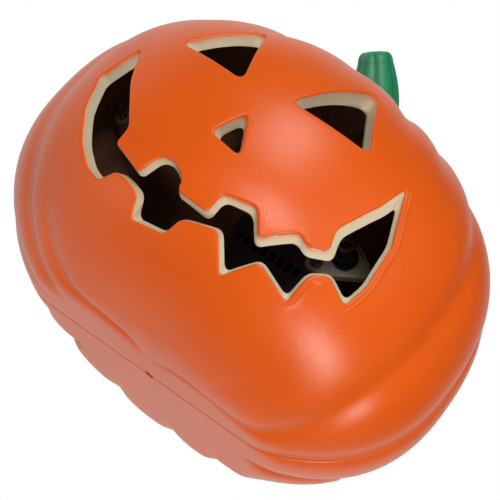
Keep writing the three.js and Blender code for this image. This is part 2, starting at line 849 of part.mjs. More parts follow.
function makeBatteryCase() {
  const block = box(-caseHalfWidth, caseHalfWidth, caseFrontY, backDepth, caseBottom, caseTop)
    .intersect(pumpkinBody(pocketInset, liningMesh));
  const ears = earPlaces.map(([x, z]) => box(Math.sign(x) * (caseHalfWidth - overcut),
    x + Math.sign(x) * earBossRadius, earFrontY, earY - fitGap, z - earHalfHeight, z + earHalfHeight));
  // Each boss of the light unit's screws stands on a web from the side of the case
  const bosses = bothSides.map(({ side }) => rodAlongY(side * lugCentreX, 0, caseFrontY,
    caseFrontY + caseBossDepth, caseBossRadius, holeSides));
  const webs = bothSides.map(({ side }) => box(side * (caseHalfWidth - overcut), side * lugCentreX,
    caseFrontY, caseFrontY + caseBossDepth, -caseWebHalfWidth, caseWebHalfWidth));
  const bay = box(-bayHalfWidth, bayHalfWidth, caseFrontY + caseFrontWall, backDepth, bayBottom, bayTop);
  const doorRecess = box(-doorHalfWidth - doorGap, doorHalfWidth + doorGap, doorSeatY, backDepth,
    doorBottom - doorGap, doorTop + doorGap);
  const screwTab = box(-doorTabHalfWidth, doorTabHalfWidth, doorSeatY - doorTab, doorSeatY,
    doorScrewZ - doorScrewDrop, bayTop + ledge / 2);
  const body = joined([block, ...ears, ...bosses, ...webs]).subtract(bay).subtract(doorRecess).add(screwTab);
  const tabHole = rodAlongY(0, doorScrewZ, doorSeatY - doorTab - overcut, doorSeatY + overcut,
    screwRadius + doorGap, holeSides);
  const earHoles = earPlaces.map(([x, z]) => rodAlongY(x, z, earFrontY - overcut, earY,
    screwHole, holeSides));
  const lugHoles = bothSides.map(({ side }) => rodAlongY(side * lugCentreX, 0, caseFrontY - overcut,
    caseFrontY + caseBossDepth - overcut, screwHole, holeSides));
  const stubHoles = bothSides.map(({ side }) => rodAlongX(stubY, stubZ, side * doorHalfWidth,
    side * (doorHalfWidth + doorStubReach + fitGap), doorStubRadius + fitGap, holeSides));
  return without(body, [tabHole, ...earHoles, ...lugHoles, ...stubHoles]);
}

function doorRim() {
  const sideX = doorHalfWidth - doorRimInset;
  const bottom = doorBottom + doorRimInset;
  const top = doorTop - doorRimDrop;
  return box(-sideX, sideX, doorInnerY - doorRimHeight, doorOuterY - doorThickness / 2, bottom, top)
    .subtract(box(-sideX + doorRimWall, sideX - doorRimWall, doorInnerY - doorRimHeight - overcut, doorInnerY,
      bottom + doorRimWall, top - doorRimWall));
}

function makeBatteryDoor() {
  // The lower edge is a barrel about the hinge's axis, so that it turns clear of its seat
  const panel = box(-doorHalfWidth, doorHalfWidth, doorInnerY, doorOuterY, stubZ, doorTop);
  const barrel = rodAlongX(stubY, stubZ, -doorHalfWidth, doorHalfWidth, doorBarrelRadius, rodSides);
  const stubs = bothSides.map(({ side }) => rodAlongX(stubY, stubZ, side * (doorHalfWidth - doorStubRoot),
    side * (doorHalfWidth + doorStubReach), doorStubRadius, holeSides));
  const grooves = Array.from({ length: gripGrooves }, (_, i) => {
    const z = doorBottom + gripRise + i * gripPitch;
    return box(-gripHalfLength, gripHalfLength, doorOuterY - gripDepth, doorOuterY + overcut,
      z, z + gripWidth);
  });
  const hole = rodAlongY(0, doorScrewZ, doorInnerY - overcut, doorOuterY + overcut, screwHole, holeSides);
  const headSink = rodAlongY(0, doorScrewZ, doorOuterY - doorScrewSink, doorOuterY + overcut,
    screwHeadRadius + fitGap);
  return without(joined([panel, barrel, doorRim(), ...stubs]), [...grooves, hole, headSink]);
}

// Batteries and their contacts

const batteryPlaces = [
  { z: bayMiddle + batteryPitch, way: 1 },
  { z: bayMiddle, way: -1 },
  { z: bayMiddle - batteryPitch, way: 1 },
];

// A plate at each end of each battery, or one long plate that joins two of them
const contactPlates = [
  { name: 'contact_plate_bridge_right', side: 1, rows: [0, 1] },
  { name: 'contact_plate_minus', side: 1, rows: [2, 2] },
  { name: 'contact_plate_plus', side: -1, rows: [0, 0] },
  { name: 'contact_plate_bridge_left', side: -1, rows: [1, 2] },
];

function makeBattery({ z, way }) {
  const half = batteryLength / 2;
  const shoulder = half - batteryNubHeight;
  const edgeRadius = batteryRadius - batteryEdge;
  const geometry = latheGeometry([
    [0, -half], [edgeRadius, -half], [batteryRadius, -half + batteryEdge],
    [batteryRadius, shoulder - batteryEdge], [edgeRadius, shoulder], [batteryNubRadius, shoulder],
    [batteryNubRadius, half], [0, half],
  ], rodSides);
  geometry.rotateZ(-way * Math.PI / 2);
  return solid(geometry.translate(way * batteryShift, batteryY, z));
}

function makeContactPlate({ side, rows: [top, bottom] }) {
  const outer = side * (bayHalfWidth - fitGap);
  return box(outer, outer - side * contactThickness, batteryY - contactHalfWidth, batteryY + contactHalfWidth,
    batteryPlaces[bottom].z - contactHalfWidth, batteryPlaces[top].z + contactHalfWidth);
}

function springLine({ z, way }) {
  // A conical coil from the end plate to the flat end of its battery
  const start = bayHalfWidth - fitGap - contactThickness - springWire - springPlateGap;
  const end = batteryLength / 2 - batteryShift + springWire + springCellGap;
  const steps = springPointsPerTurn * springTurns;
  return Array.from({ length: steps + 1 }, (_, i) => {
    const share = i / steps;
    const turn = 2 * Math.PI * i / springPointsPerTurn;
    const radius = springRadius + (springTopRadius - springRadius) * share;
    return new THREE.Vector3(-way * (start + (end - start) * share),
      batteryY + radius * Math.cos(turn), z + radius * Math.sin(turn));
  });
}

function wireRing(line, i, axisPoint) {
  // The points round the wire at one point of its line, with the first on the outside of the coil
  const ahead = line[Math.min(line.length - 1, i + 1)].clone().sub(line[Math.max(0, i - 1)]).normalize();
  const outward = new THREE.Vector3(0, line[i].y - axisPoint.y, line[i].z - axisPoint.z).normalize();
  const across = ahead.clone().cross(outward).normalize();
  const out = across.clone().cross(ahead);
  return Array.from({ length: springWireSides }, (_, k) => {
    const turn = 2 * Math.PI * k / springWireSides;
    return line[i].clone().addScaledVector(out, springWire * Math.cos(turn))
      .addScaledVector(across, springWire * Math.sin(turn));
  });
}

function makeContactSpring(place) {
  const line = springLine(place);
  const axisPoint = new THREE.Vector3(0, batteryY, place.z);
  const points = line.flatMap((_, i) => wireRing(line, i, axisPoint));
  const last = (line.length - 1) * springWireSides;
  const index = [];
  for (let low = 0; low < last; low += springWireSides) {
    const high = low + springWireSides;
    for (let k = 0; k < springWireSides; k += 1) {
      const next = (k + 1) % springWireSides;
      index.push(low + k, low + next, high + next, low + k, high + next, high + k);
    }
  }
  for (let k = 1; k < springWireSides - 1; k += 1) {
    index.push(0, k + 1, k);
    index.push(last, last + k, last + k + 1);
  }
  return meshedSolid(points, index);
}

function leastSpringGap() {
  let least = Infinity;
  for (const line of batteryPlaces.map(springLine)) {
    line.forEach((a, i) => line.slice(i + springPointsPerTurn - 2).forEach((b) => {
      least = Math.min(least, a.distanceTo(b) - 2 * springWire);
    }));
  }
  return least;
}

// Light unit housing

function housingShell() {
  const innerHalfWidth = housingHalfWidth - housingWall;
  return box(-housingHalfWidth, housingHalfWidth, housingFrontY, housingBackY, housingBottom, housingTop)
    .subtract(box(-innerHalfWidth, innerHalfWidth, housingFrontY + housingWall, housingBackY + overcut,
      housingBottom + housingWall, housingTop - housingWall));
}

function bracketBoss() {
  return rodAlongY(bracketScrewX, bracketScrewZ, housingFrontY + housingWall / 2,
    housingFrontY + bracketBossDepth, bracketBossRadius, holeSides)
    .intersect(box(-housingHalfWidth, housingHalfWidth, housingFrontY, housingBackY,
      housingBottom, housingTop));
}

function housingWindows() {
  return Array.from({ length: windowCount }, (_, i) => {
    const x = (i - (windowCount - 1) / 2) * windowPitch;
    return box(x - windowWidth / 2, x + windowWidth / 2, housingFrontY - overcut,
      housingFrontY + housingWall + overcut, windowZ - windowHeight / 2, windowZ + windowHeight / 2);
  });
}

function makeHousing() {
  const lugs = bothSides.map(({ side }) => box(side * (housingHalfWidth - housingWall / 2),
    side * (housingHalfWidth + lugReach), housingBackY - lugThickness, housingBackY,
    -lugHalfHeight, lugHalfHeight));
  const posts = bothSides.map(({ side }) => rodAlongY(side * boardPostX, 0, housingFrontY + housingWall / 2,
    boardY - fitGap, boardPostRadius, holeSides));
  const lugHoles = bothSides.map(({ side }) => rodAlongY(side * lugCentreX, 0,
    housingBackY - lugThickness - overcut, housingBackY + overcut, screwHole, holeSides));
  const postHoles = bothSides.map(({ side }) => rodAlongY(side * boardPostX, 0,
    housingFrontY + housingWall + overcut, boardY, screwHole, holeSides));
  const leadHole = rodAlongZ(leadHoleX, leadHoleY, housingTop - housingWall - overcut, housingTop + overcut,
    leadHoleRadius);
  const bracketScrewHole = rodAlongY(bracketScrewX, bracketScrewZ, housingFrontY - overcut,
    housingFrontY + bracketBossDepth - overcut, screwHole, holeSides);
  return without(joined([housingShell(), ...lugs, ...posts, bracketBoss()]), [
    ...lugHoles, ...postHoles, ...housingWindows(), leadHole, bracketScrewHole,
  ]);
}

// Circuit board

const boardBackY = boardY + boardThickness;

function makeBoard() {
  const plate = box(-boardHalfWidth, boardHalfWidth, boardY, boardBackY, -boardHalfHeight, boardHalfHeight);
  return without(plate, bothSides.map(({ side }) => rodAlongY(side * boardPostX, 0, boardY - overcut,
    boardBackY + overcut, screwHole, holeSides)));
}

function makeTimerChip() {
  return box(-chipHalfWidth, chipHalfWidth, boardBackY + fitGap, boardBackY + fitGap + chipThickness,
    chipBottom, chipBottom + chipHeight);
}

function makeCapacitor() {
  return rodAlongY(capacitorX, capacitorZ, boardBackY + fitGap, boardBackY + fitGap + capacitorLength,
    capacitorRadius, holeSides);
}

// Lamp on its bracket

const bracketBackY = housingFrontY - fitGap;
const bracketFrontY = bracketBackY - bracketThickness;
const collarBackY = bracketFrontY - fitGap;
const holderFrontY = collarBackY - holderCollar - holderFront;
const holderBackY = housingFrontY + holderBack;

function shrunk(corners, amount) {
  const middle = corners.reduce((sum, [x, z]) => sum.add(new THREE.Vector2(x, z)), new THREE.Vector2())
    .divideScalar(corners.length);
  return corners.map(([x, z]) => {
    const away = new THREE.Vector2(x, z).sub(middle);
    return away.setLength(away.length() - amount).add(middle).toArray();
  });
}

function makeBracket() {
  const outline = roundedOutline(bracketCorners, 3);
  const inner = roundedOutline(shrunk(bracketCorners, bracketRimWall), 3);
  const plate = extrudedAlongY(outline, [], bracketFrontY, bracketBackY);
  const rim = extrudedAlongY(outline, [inner], bracketBackY - bracketRimHeight, bracketBackY);
  const holderHole = rodAlongY(lampX, lampZ, bracketFrontY - overcut, bracketBackY + overcut,
    holderRadius + fitGap, fineSides);
  const hole = rodAlongY(bracketScrewX, bracketScrewZ, bracketFrontY - overcut, bracketBackY + overcut,
    screwHole, holeSides);
  return without(plate.add(rim), [holderHole, hole]);
}

function makeLampHolder() {
  const mouthRadius = holderRadius - holderMouthWall;
  const mouthFloorY = holderFrontY + holderMouthDepth;
  return latheAlongY(lampX, lampZ, [
    [0, mouthFloorY], [mouthRadius, mouthFloorY], [mouthRadius, holderFrontY], [holderRadius, holderFrontY],
    [holderRadius, collarBackY - holderCollar], [holderCollarRadius, collarBackY - holderCollar],
    [holderCollarRadius, collarBackY], [holderRadius, collarBackY], [holderRadius, holderBackY],
    [0, holderBackY],
  ]);
}

function bulbProfile(base) {
  const profile = [[0, base - bulbLength]];
  for (let i = 1; i <= bulbRings; i += 1) {
    const share = i / bulbRings;
    const swell = Math.sin(Math.PI * share ** bulbWidestPower * bulbNarrowing + bulbTipShare) ** bulbFullness;
    profile.push([Math.max(bulbRadius * swell, bulbNeckRadius), base - bulbLength * (1 - share)]);
  }
  return [...profile, [0, base]];
}

function makeBulb() {
  return latheAlongY(lampX, lampZ, bulbProfile(holderFrontY - fitGap));
}

function makeBulbBase() {
  const backY = holderFrontY + bulbBaseDepth;
  return latheAlongY(lampX, lampZ, [
    [0, holderFrontY], [bulbBaseRadius, holderFrontY], [bulbBaseRadius, backY],
    [bulbBaseTipRadius, backY + bulbBaseTip], [0, backY + bulbBaseTip],
  ]);
}

function makeLead(way) {
  // From inside the housing, up through its hole and over to the back of the lamp holder
  const apart = way * leadSpread;
  const path = new THREE.CatmullRomCurve3([
    new THREE.Vector3(leadHoleX - leadStartAside, leadHoleY + apart, housingTop - leadStartDrop),
    new THREE.Vector3(leadHoleX, leadHoleY + apart, housingTop - leadBendDrop),
    new THREE.Vector3(leadHoleX, leadHoleY + apart, housingTop + leadExitRise),
    new THREE.Vector3(leadHoleX + leadSweep, leadHoleY + apart, lampZ - leadSweepDrop),
    new THREE.Vector3(lampX, holderBackY + leadTurnBack + apart, lampZ + apart),
    new THREE.Vector3(lampX, holderBackY + fitGap, lampZ + apart),
  ]);
  const circle = new THREE.Shape();
  circle.absarc(0, 0, leadRadius, 0, 2 * Math.PI);
  return solid(new THREE.ExtrudeGeometry(circle, {
    steps: leadSteps, curveSegments: 4, bevelEnabled: false, extrudePath: path,
  }));
}

// Slide switch

function makeSwitchBody() {
  return boxInFrame(switchFrame, -switchBodyWidth / 2, switchBodyWidth / 2,
    -switchBodyLength / 2, switchBodyLength / 2, switchTop - switchBodyDepth, switchTop)
    .subtract(switchSlot(switchTop - switchGrooveDepth, switchTop + overcut));
}

function makeSwitchKnob() {
  // The knob rests at the lower end of its travel
  const middle = -knobTravel / 2;
  const knob = boxInFrame(switchFrame, -knobWidth / 2, knobWidth / 2, middle - knobLength / 2,
    middle + knobLength / 2, switchTop - switchGrooveDepth + fitGap, knobRise);
  return without(knob, knobGrooves.map((offset) => boxInFrame(switchFrame, -knobWidth, knobWidth,
    middle + offset - knobGrooveWidth / 2, middle + offset + knobGrooveWidth / 2,
    knobRise - knobGrooveDepth, knobRise + overcut)));
}

// Assembly

function addScrew(name, x, z, headY, tipY) {
  addPart(name, screwAlongY(x, z, headY, tipY), colours.steel, 0.35, 0.9);
}

addPart('front_shell', makeFrontShell(), colours.orange, 0.45);
addPart('back_shell', makeBackShell(), colours.orange, 0.45);
addPart('stem', makeStem(), colours.green, 0.5);
bossPlaces.forEach(([x, z], i) => {
  addScrew(`shell_screw_${i + 1}`, x, z, tunnelFloor + fitGap, -shellScrewTip);
});

addPart('battery_case', makeBatteryCase(), colours.darkGrey, 0.6);
addPart('battery_door', makeBatteryDoor(), colours.orange, 0.45);
addScrew('door_screw', 0, doorScrewZ, doorOuterY - doorScrewSink + fitGap, doorSeatY - doorScrewBite);
batteryPlaces.forEach((place, i) => {
  addPart(`battery_${i + 1}`, makeBattery(place), colours.cellBody, 0.4, 0.2);
  addPart(`contact_spring_${i + 1}`, makeContactSpring(place), colours.steel, 0.3, 0.9);
});
contactPlates.forEach((plate) => addPart(plate.name, makeContactPlate(plate), colours.steel, 0.3, 0.9));
earPlaces.forEach(([x, z], i) => {
  addScrew(`case_screw_${i + 1}`, x, z, earFrontY - fitGap, earY + earScrewTip);
});

addPart('lamp_housing', makeHousing(), colours.darkGrey, 0.55);
bothSides.forEach(({ side, sideName }) => {
  addScrew(`housing_screw_${sideName}`, side * lugCentreX, 0,
    housingBackY - lugThickness - fitGap, caseFrontY + housingScrewTip);
  addScrew(`board_screw_${sideName}`, side * boardPostX, 0, boardBackY + fitGap,
    housingFrontY + boardScrewTip);
});
addPart('circuit_board', makeBoard(), colours.boardGreen, 0.5);
addPart('timer_chip', makeTimerChip(), colours.black, 0.4);
addPart('capacitor', makeCapacitor(), colours.black, 0.4);

addPart('lamp_bracket', makeBracket(), colours.cream, 0.5);
addScrew('bracket_screw', bracketScrewX, bracketScrewZ, bracketFrontY - fitGap,
  housingFrontY + bracketScrewTip);
addPart('lamp_holder', makeLampHolder(), colours.black, 0.35);
addPart('bulb', makeBulb(), colours.glass, 0.15);
addPart('bulb_base', makeBulbBase(), colours.brass, 0.3, 0.9);
addPart('lamp_lead_black', makeLead(-1), colours.black, 0.5);
addPart('lamp_lead_red', makeLead(1), colours.red, 0.5);

addPart('switch_body', makeSwitchBody(), colours.black, 0.5);
addPart('switch_knob', makeSwitchKnob(), colours.black, 0.4);

object.children.forEach((mesh) => mesh.geometry.translate(0, -centreForward, footHeight));

console.log(`least gap between the turns of a contact spring: ${leastSpringGap().toFixed(2)} mm`);

export default object;
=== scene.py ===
"""Light-up jack-o-lantern lamp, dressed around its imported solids.

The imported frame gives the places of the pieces. The half shells, the stem and the
edges of the moulded pieces are modelled here at full fineness, and every piece gets a
procedural finish. Lengths are in metres.
"""

from __future__ import annotations

import json
import logging
import math
from dataclasses import dataclass, field
from enum import Enum
from typing import Sequence

import bmesh
import bpy
import numpy as np
from mathutils import Matrix, Vector, geometry

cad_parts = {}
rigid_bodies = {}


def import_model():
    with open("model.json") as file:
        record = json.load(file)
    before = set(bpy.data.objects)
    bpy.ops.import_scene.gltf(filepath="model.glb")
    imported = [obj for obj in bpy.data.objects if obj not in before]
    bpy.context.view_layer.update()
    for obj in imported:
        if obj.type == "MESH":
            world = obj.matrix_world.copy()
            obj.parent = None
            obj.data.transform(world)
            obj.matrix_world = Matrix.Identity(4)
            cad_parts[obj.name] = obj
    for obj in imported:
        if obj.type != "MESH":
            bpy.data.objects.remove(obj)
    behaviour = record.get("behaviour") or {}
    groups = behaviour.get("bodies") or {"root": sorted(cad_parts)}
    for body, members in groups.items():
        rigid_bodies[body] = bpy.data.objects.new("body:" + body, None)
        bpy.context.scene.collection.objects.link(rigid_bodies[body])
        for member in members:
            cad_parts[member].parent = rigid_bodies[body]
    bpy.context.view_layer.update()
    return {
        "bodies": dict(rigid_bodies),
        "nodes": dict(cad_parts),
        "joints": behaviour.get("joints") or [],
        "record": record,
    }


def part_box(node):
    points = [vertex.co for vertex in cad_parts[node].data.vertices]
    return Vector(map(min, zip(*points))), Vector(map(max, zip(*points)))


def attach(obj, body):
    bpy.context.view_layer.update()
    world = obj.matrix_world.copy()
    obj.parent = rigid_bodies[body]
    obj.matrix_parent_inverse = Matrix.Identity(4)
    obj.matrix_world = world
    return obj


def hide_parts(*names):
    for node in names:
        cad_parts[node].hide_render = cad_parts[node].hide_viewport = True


MM = 0.001
LAMP_BODY = "lamp"
DOOR_BODY = "door"
KNOB_BODY = "knob"
SEAM_GAP = 0.6 * MM
PUMPKIN_CENTRE = (0.0, -6.6 * MM, 73 * MM)
X_AXIS, Y_AXIS = 0, 1

log = logging.getLogger("lantern")

Pair = tuple[float, float]
Triple = tuple[float, float, float]
Colour = Triple
Points = np.ndarray
Mesh = bmesh.types.BMesh
Row = list[bmesh.types.BMVert]
Socket = bpy.types.NodeSocket


class Half(Enum):
    """The two moulded halves of the pumpkin."""

    FRONT = "front_shell"
    BACK = "back_shell"


@dataclass(frozen=True)
class Crease:
    """A groove between two lobes of the pumpkin.

    The turns are in degrees. The depth counts in full where the crown, belly or foot share is 1,
    and a depth below 0 makes a ridge. A crease may drift sideways towards the foot, and hook
    round the end of a lobe beside the foot.
    """

    turn: float
    depth: float
    crown: float
    belly: float
    foot: float
    drift: float = 0.0
    hook: float = 0.0


CREASES = (
    Crease(-50, 3.2 * MM, 1.0, 0.9, 1.0, -12),
    Crease(-34, 3.0 * MM, 0.4, 0.1, 1.0, -12, 50),
    Crease(-14, 2.6 * MM, 1.0, 0.0, 0.0),
    Crease(8, 2.6 * MM, 0.4, 0.0, 0.3),
    Crease(29, 3.6 * MM, 1.0, 0.0, 0.0),
    Crease(44, 3.0 * MM, 1.0, 0.0, 0.3),
    Crease(62, 3.3 * MM, 1.0, 1.0, 1.0, 9, -62),
    Crease(88, 3.0 * MM, 1.0, 0.9, 0.9),
    Crease(116, 4.0 * MM, 0.9, 1.0, 1.0),
    Crease(152, 4.2 * MM, 0.9, 1.0, 0.9, 6),
    Crease(145, -2.4 * MM, 0.0, 0.0, 1.0),
    Crease(165, -2.4 * MM, 0.0, 0.0, 1.0),
    Crease(178, 4.4 * MM, 0.9, 0.0, 1.2),
    Crease(205, 3.6 * MM, 0.9, 0.4, 1.2),
    Crease(236, 4.4 * MM, 0.9, 1.0, 1.3),
    Crease(256, 4.0 * MM, 0.9, 1.0, 0.3),
    Crease(283, 3.0 * MM, 1.0, 0.8, 0.4),
)


def smooth_step(value: Points, low: float, high: float) -> Points:
    """Returns a smooth rise from 0 at low to 1 at high.

    Args:
        value: The numbers to place on the rise.
        low: Where the rise starts.
        high: Where the rise ends.

    Returns:
        The share of the rise at each value.
    """
    share = np.clip((value - low) / (high - low), 0.0, 1.0)
    return share * share * (3.0 - 2.0 * share)


def quarter_round(steps: int) -> list[Pair]:
    """Returns the points of a quarter round.

    Args:
        steps: How many pieces the round has.

    Returns:
        One minus the sine and one minus the cosine of each point's angle, from 0 to 90 degrees.
    """
    angles = [math.pi / 2 * step / steps for step in range(steps + 1)]
    return [(1 - math.sin(angle), 1 - math.cos(angle)) for angle in angles]


def rectangle(half_width: float, bottom: float, top: float) -> list[Pair]:
    """Returns the corners of an upright rectangle, counterclockwise from the lower left."""
    return [(-half_width, bottom), (half_width, bottom), (half_width, top), (-half_width, top)]


def join_rows(mesh: Mesh, low: Row, high: Row) -> None:
    """Adds the faces between two closed rows of vertices, of which one may be a single vertex."""
    count = max(len(low), len(high))
    for i in range(count):
        after = (i + 1) % count
        corners = [low[i % len(low)], low[after % len(low)], high[after % len(high)], high[i % len(high)]]
        mesh.faces.new(list(dict.fromkeys(corners)))


@dataclass(frozen=True)
class PumpkinForm:
    """The pumpkin's outer surface, by turn from the front towards +X and tilt from the crown.

    Both angles are in degrees, and every length is measured from the pumpkin's centre.
    """

    centre: Vector
    half_width: float = 118.1 * MM
    front_depth: float = 119 * MM
    back_depth: float = 137 * MM
    crown_height: float = 90 * MM
    foot_height: float = 73 * MM
    side_belly: float = 83 * MM
    front_belly: float = 75 * MM
    back_belly: float = 85 * MM
    fullness: float = 2.4
    dimple_depth: float = 10 * MM
    dimple_spread: float = 17.0
    crease_width: float = 3.8
    crease_flank: float = 5.0
    wall: float = 2.6 * MM
    skin_inset: float = 0.25 * MM
    foot_round: float = 3.5 * MM
    crease_start: Pair = (4.0, 20.0)
    crease_end: Pair = (136.0, 154.0)
    hooked_end: Pair = (150.0, 168.0)
    crown_fade: Pair = (40.0, 74.0)
    foot_rise: Pair = (112.0, 142.0)
    drift_rise: Pair = (105.0, 140.0)
    hook_rise: Pair = (138.0, 168.0)
    sharp_share: float = 0.6
    search_margin: float = 5 * MM
    halvings: int = 34

    def direction(self, turn: Points, tilt: Points) -> Points:
        """Returns the unit vectors that point along the given turns and tilts."""
        a, t = np.radians(turn), np.radians(tilt)
        return np.stack([np.sin(a) * np.sin(t), -np.cos(a) * np.sin(t), np.cos(t)], axis=-1)

    def crease_drop(self, turn: Points, tilt: Points) -> Points:
        """Returns how far the creases sink the surface."""
        to_crown = 1.0 - smooth_step(tilt, *self.crown_fade)
        to_foot = smooth_step(tilt, *self.foot_rise)
        drifted = smooth_step(tilt, *self.drift_rise)
        hooked = smooth_step(tilt, *self.hook_rise)
        belly = 1.0 - to_crown - to_foot
        drop = np.zeros_like(turn, dtype=float)
        for crease in CREASES:
            centre = crease.turn + crease.drift * drifted + crease.hook * hooked
            away = np.abs((turn - centre + 180.0) % 360.0 - 180.0) / self.crease_width
            flank = (1.0 - self.sharp_share) * np.exp(-away ** 2 / self.crease_flank)
            profile = self.sharp_share * np.exp(-away ** 2) + flank
            share = crease.crown * to_crown + crease.belly * belly + crease.foot * to_foot
            end = self.hooked_end if crease.hook else self.crease_end
            drop += crease.depth * share * profile * (1.0 - smooth_step(tilt, *end))
        return drop * smooth_step(tilt, *self.crease_start)

    def radius(self, turn: Points, tilt: Points, creased: bool = True) -> Points:
        """Returns the distance from the centre to the surface.

        Args:
            turn: Turns in degrees.
            tilt: Tilts in degrees.
            creased: Whether the creases between the lobes count.

        Returns:
            One distance for each pair of angles.
        """
        d = self.direction(turn, tilt)
        x, y, z = d[..., 0], d[..., 1], d[..., 2]
        depth = np.where(y < 0, self.front_depth, self.back_depth)
        belly = np.where(y < 0, self.front_belly, self.back_belly)
        below = self.side_belly + (belly - self.side_belly) * np.cos(np.radians(turn)) ** 2
        height = np.where(z > 0, self.crown_height, below)
        across = np.hypot(x / self.half_width, y / depth)
        power = self.fullness
        free = (across ** power + np.abs(z / height) ** power) ** (-1.0 / power)
        free = free - self.skin_inset
        free = free - self.dimple_depth * np.exp(-((tilt / self.dimple_spread) ** 2))
        if creased:
            free = free - self.crease_drop(turn, tilt)
        plane = self.foot_height / np.maximum(-z, 0.05)
        blend = np.clip(0.5 + 0.5 * (plane - free) / self.foot_round, 0.0, 1.0)
        return plane * (1 - blend) + free * blend - self.foot_round * blend * (1 - blend)

    def local(self, turn: Points, tilt: Points, creased: bool = True) -> Points:
        """Returns surface points, measured from the pumpkin's centre."""
        return self.direction(turn, tilt) * self.radius(turn, tilt, creased)[..., None]

    def normal(self, turn: Points, tilt: Points, creased: bool = True) -> Points:
        """Returns the outward unit normals of the surface."""
        step = 0.4
        steep = np.clip(tilt, 1.0, 179.0)
        east = self.local(turn + step, steep, creased) - self.local(turn - step, steep, creased)
        south = self.local(turn, steep + step, creased) - self.local(turn, steep - step, creased)
        out = np.cross(south, east)
        return out / np.linalg.norm(out, axis=-1, keepdims=True)

    def angles(self, point: Points) -> tuple[Points, Points]:
        """Returns the turn and tilt of points that are measured from the centre."""
        turn = np.degrees(np.arctan2(point[..., 0], -point[..., 1]))
        tilt = np.degrees(np.arccos(point[..., 2] / np.linalg.norm(point, axis=-1)))
        return turn, tilt

    def onto(self, point: Points) -> Points:
        """Returns the surface points that lie in the direction of the given points."""
        return self.local(*self.angles(point))

    def normal_at(self, point: Points, creased: bool = True) -> Points:
        """Returns the outward unit normals of the surface beside the given points."""
        return self.normal(*self.angles(point), creased)

    def on_side(self, flat: Points, half: Half) -> Points:
        """Finds the points of the surface behind a drawing by halving.

        Args:
            flat: Rows of the distance across from the centre and the height over it.
            half: The half shell that the points lie on.

        Returns:
            The points, measured from the centre.
        """
        x, z = flat[:, 0], flat[:, 1]
        sign = -1.0 if half is Half.FRONT else 1.0
        outside = np.full_like(x, sign * (self.back_depth + self.search_margin))
        inside = np.zeros_like(x)
        for _ in range(self.halvings):
            middle = (outside + inside) / 2
            point = np.stack([x, middle, z], axis=-1)
            turn, tilt = self.angles(point)
            beyond = np.linalg.norm(point, axis=-1) > self.radius(turn, tilt)
            outside = np.where(beyond, middle, outside)
            inside = np.where(beyond, inside, middle)
        return np.stack([x, (outside + inside) / 2, z], axis=-1)


def edge_steps(corners: Sequence[Pair], spacing: float) -> list[int]:
    """Returns how many points each edge of an outline gets between its rounded corners."""
    following = list(corners[1:]) + [corners[0]]
    return [int(math.dist(corner, after) / spacing) for corner, after in zip(corners, following)]


def inset_corners(corners: Sequence[Pair], insets: Points) -> Points:
    """Moves the corners of a closed outline inwards along their mitres.

    Args:
        corners: The outline's corners.
        insets: How far the edges at each corner move.

    Returns:
        The moved corners, one row each.
    """
    points = np.array(corners, dtype=float)
    following = np.roll(points, -1, axis=0)
    along = following - points
    area = np.sum(points[:, 0] * following[:, 1] - following[:, 0] * points[:, 1])
    along /= np.linalg.norm(along, axis=1, keepdims=True)
    after = np.stack([-along[:, 1], along[:, 0]], axis=-1) * np.sign(area)
    before = np.roll(after, 1, axis=0)
    mitre = (before + after) / (1.0 + np.sum(before * after, axis=1, keepdims=True))
    return points + mitre * insets[:, None]


def rounded_outline(corners: Sequence[Pair], cut: float, steps: Sequence[int]) -> Points:
    """Rounds the corners of a closed outline and fills its edges with points.

    Args:
        corners: The outline's corners.
        cut: How far before and after a corner its round starts.
        steps: How many points each edge gets between its rounds.

    Returns:
        The outline's points, one row each, counterclockwise.
    """
    rounds = 7
    longest_share = 0.46
    points: list[Points] = []
    count = len(corners)
    sharp = [np.array(corner, dtype=float) for corner in corners]
    ends = []
    for i, corner in enumerate(sharp):
        before, after = sharp[i - 1], sharp[(i + 1) % count]
        to_before, to_after = before - corner, after - corner
        start = corner + to_before * min(cut / np.linalg.norm(to_before), longest_share)
        end = corner + to_after * min(cut / np.linalg.norm(to_after), longest_share)
        ends.append((start, corner, end))
    for i, (start, corner, end) in enumerate(ends):
        for share in np.linspace(0.0, 1.0, rounds):
            points.append(start * (1 - share) ** 2 + corner * 2 * share * (1 - share) + end * share ** 2)
        following = ends[(i + 1) % count][0]
        for share in np.linspace(0.0, 1.0, steps[i] + 2)[1:-1]:
            points.append(end + (following - end) * share)
    outline = np.array(points)
    rolled = np.roll(outline, -1, axis=0)
    area = np.sum(outline[:, 0] * rolled[:, 1] - rolled[:, 0] * outline[:, 1])
    return outline if area > 0 else outline[::-1]


def circle_outline(x: float, z: float, radius: float, count: int = 32) -> Points:
    """Returns the points of a circle, counterclockwise as seen from the front."""
    turn = np.linspace(0.0, 2 * math.pi, count, endpoint=False)
    return np.stack([x + radius * np.cos(turn), z + radius * np.sin(turn)], axis=-1)


@dataclass
class Opening:
    """A hole in a half shell: its lip on the surface and the walls that run inwards from it.

    The rings run from the outermost ring on the outer skin to the ring on the inner skin. Each ring has its
    paint and its dark share, which is painted shade.
    """

    name: str
    rings: list[Points]
    paint: list[float]
    dark: list[float]

    @property
    def outer(self) -> Points:
        """The ring that joins the outer skin."""
        return self.rings[0]

    @property
    def inner(self) -> Points:
        """The ring that joins the inner skin."""
        return self.rings[-1]


def side_vectors(ring: Points, normal: Points) -> Points:
    """Returns the unit vectors that point away from an opening, along the surface.

    Args:
        ring: The opening's lip, with its points in order.
        normal: The surface's normals at these points.

    Returns:
        One vector for each point of the lip.
    """
    before = ring - np.roll(ring, 1, axis=0)
    after = np.roll(ring, -1, axis=0) - ring
    before /= np.linalg.norm(before, axis=1, keepdims=True)
    after /= np.linalg.norm(after, axis=1, keepdims=True)
    side = np.cross(before + after, normal)
    return side / np.linalg.norm(side, axis=1, keepdims=True)


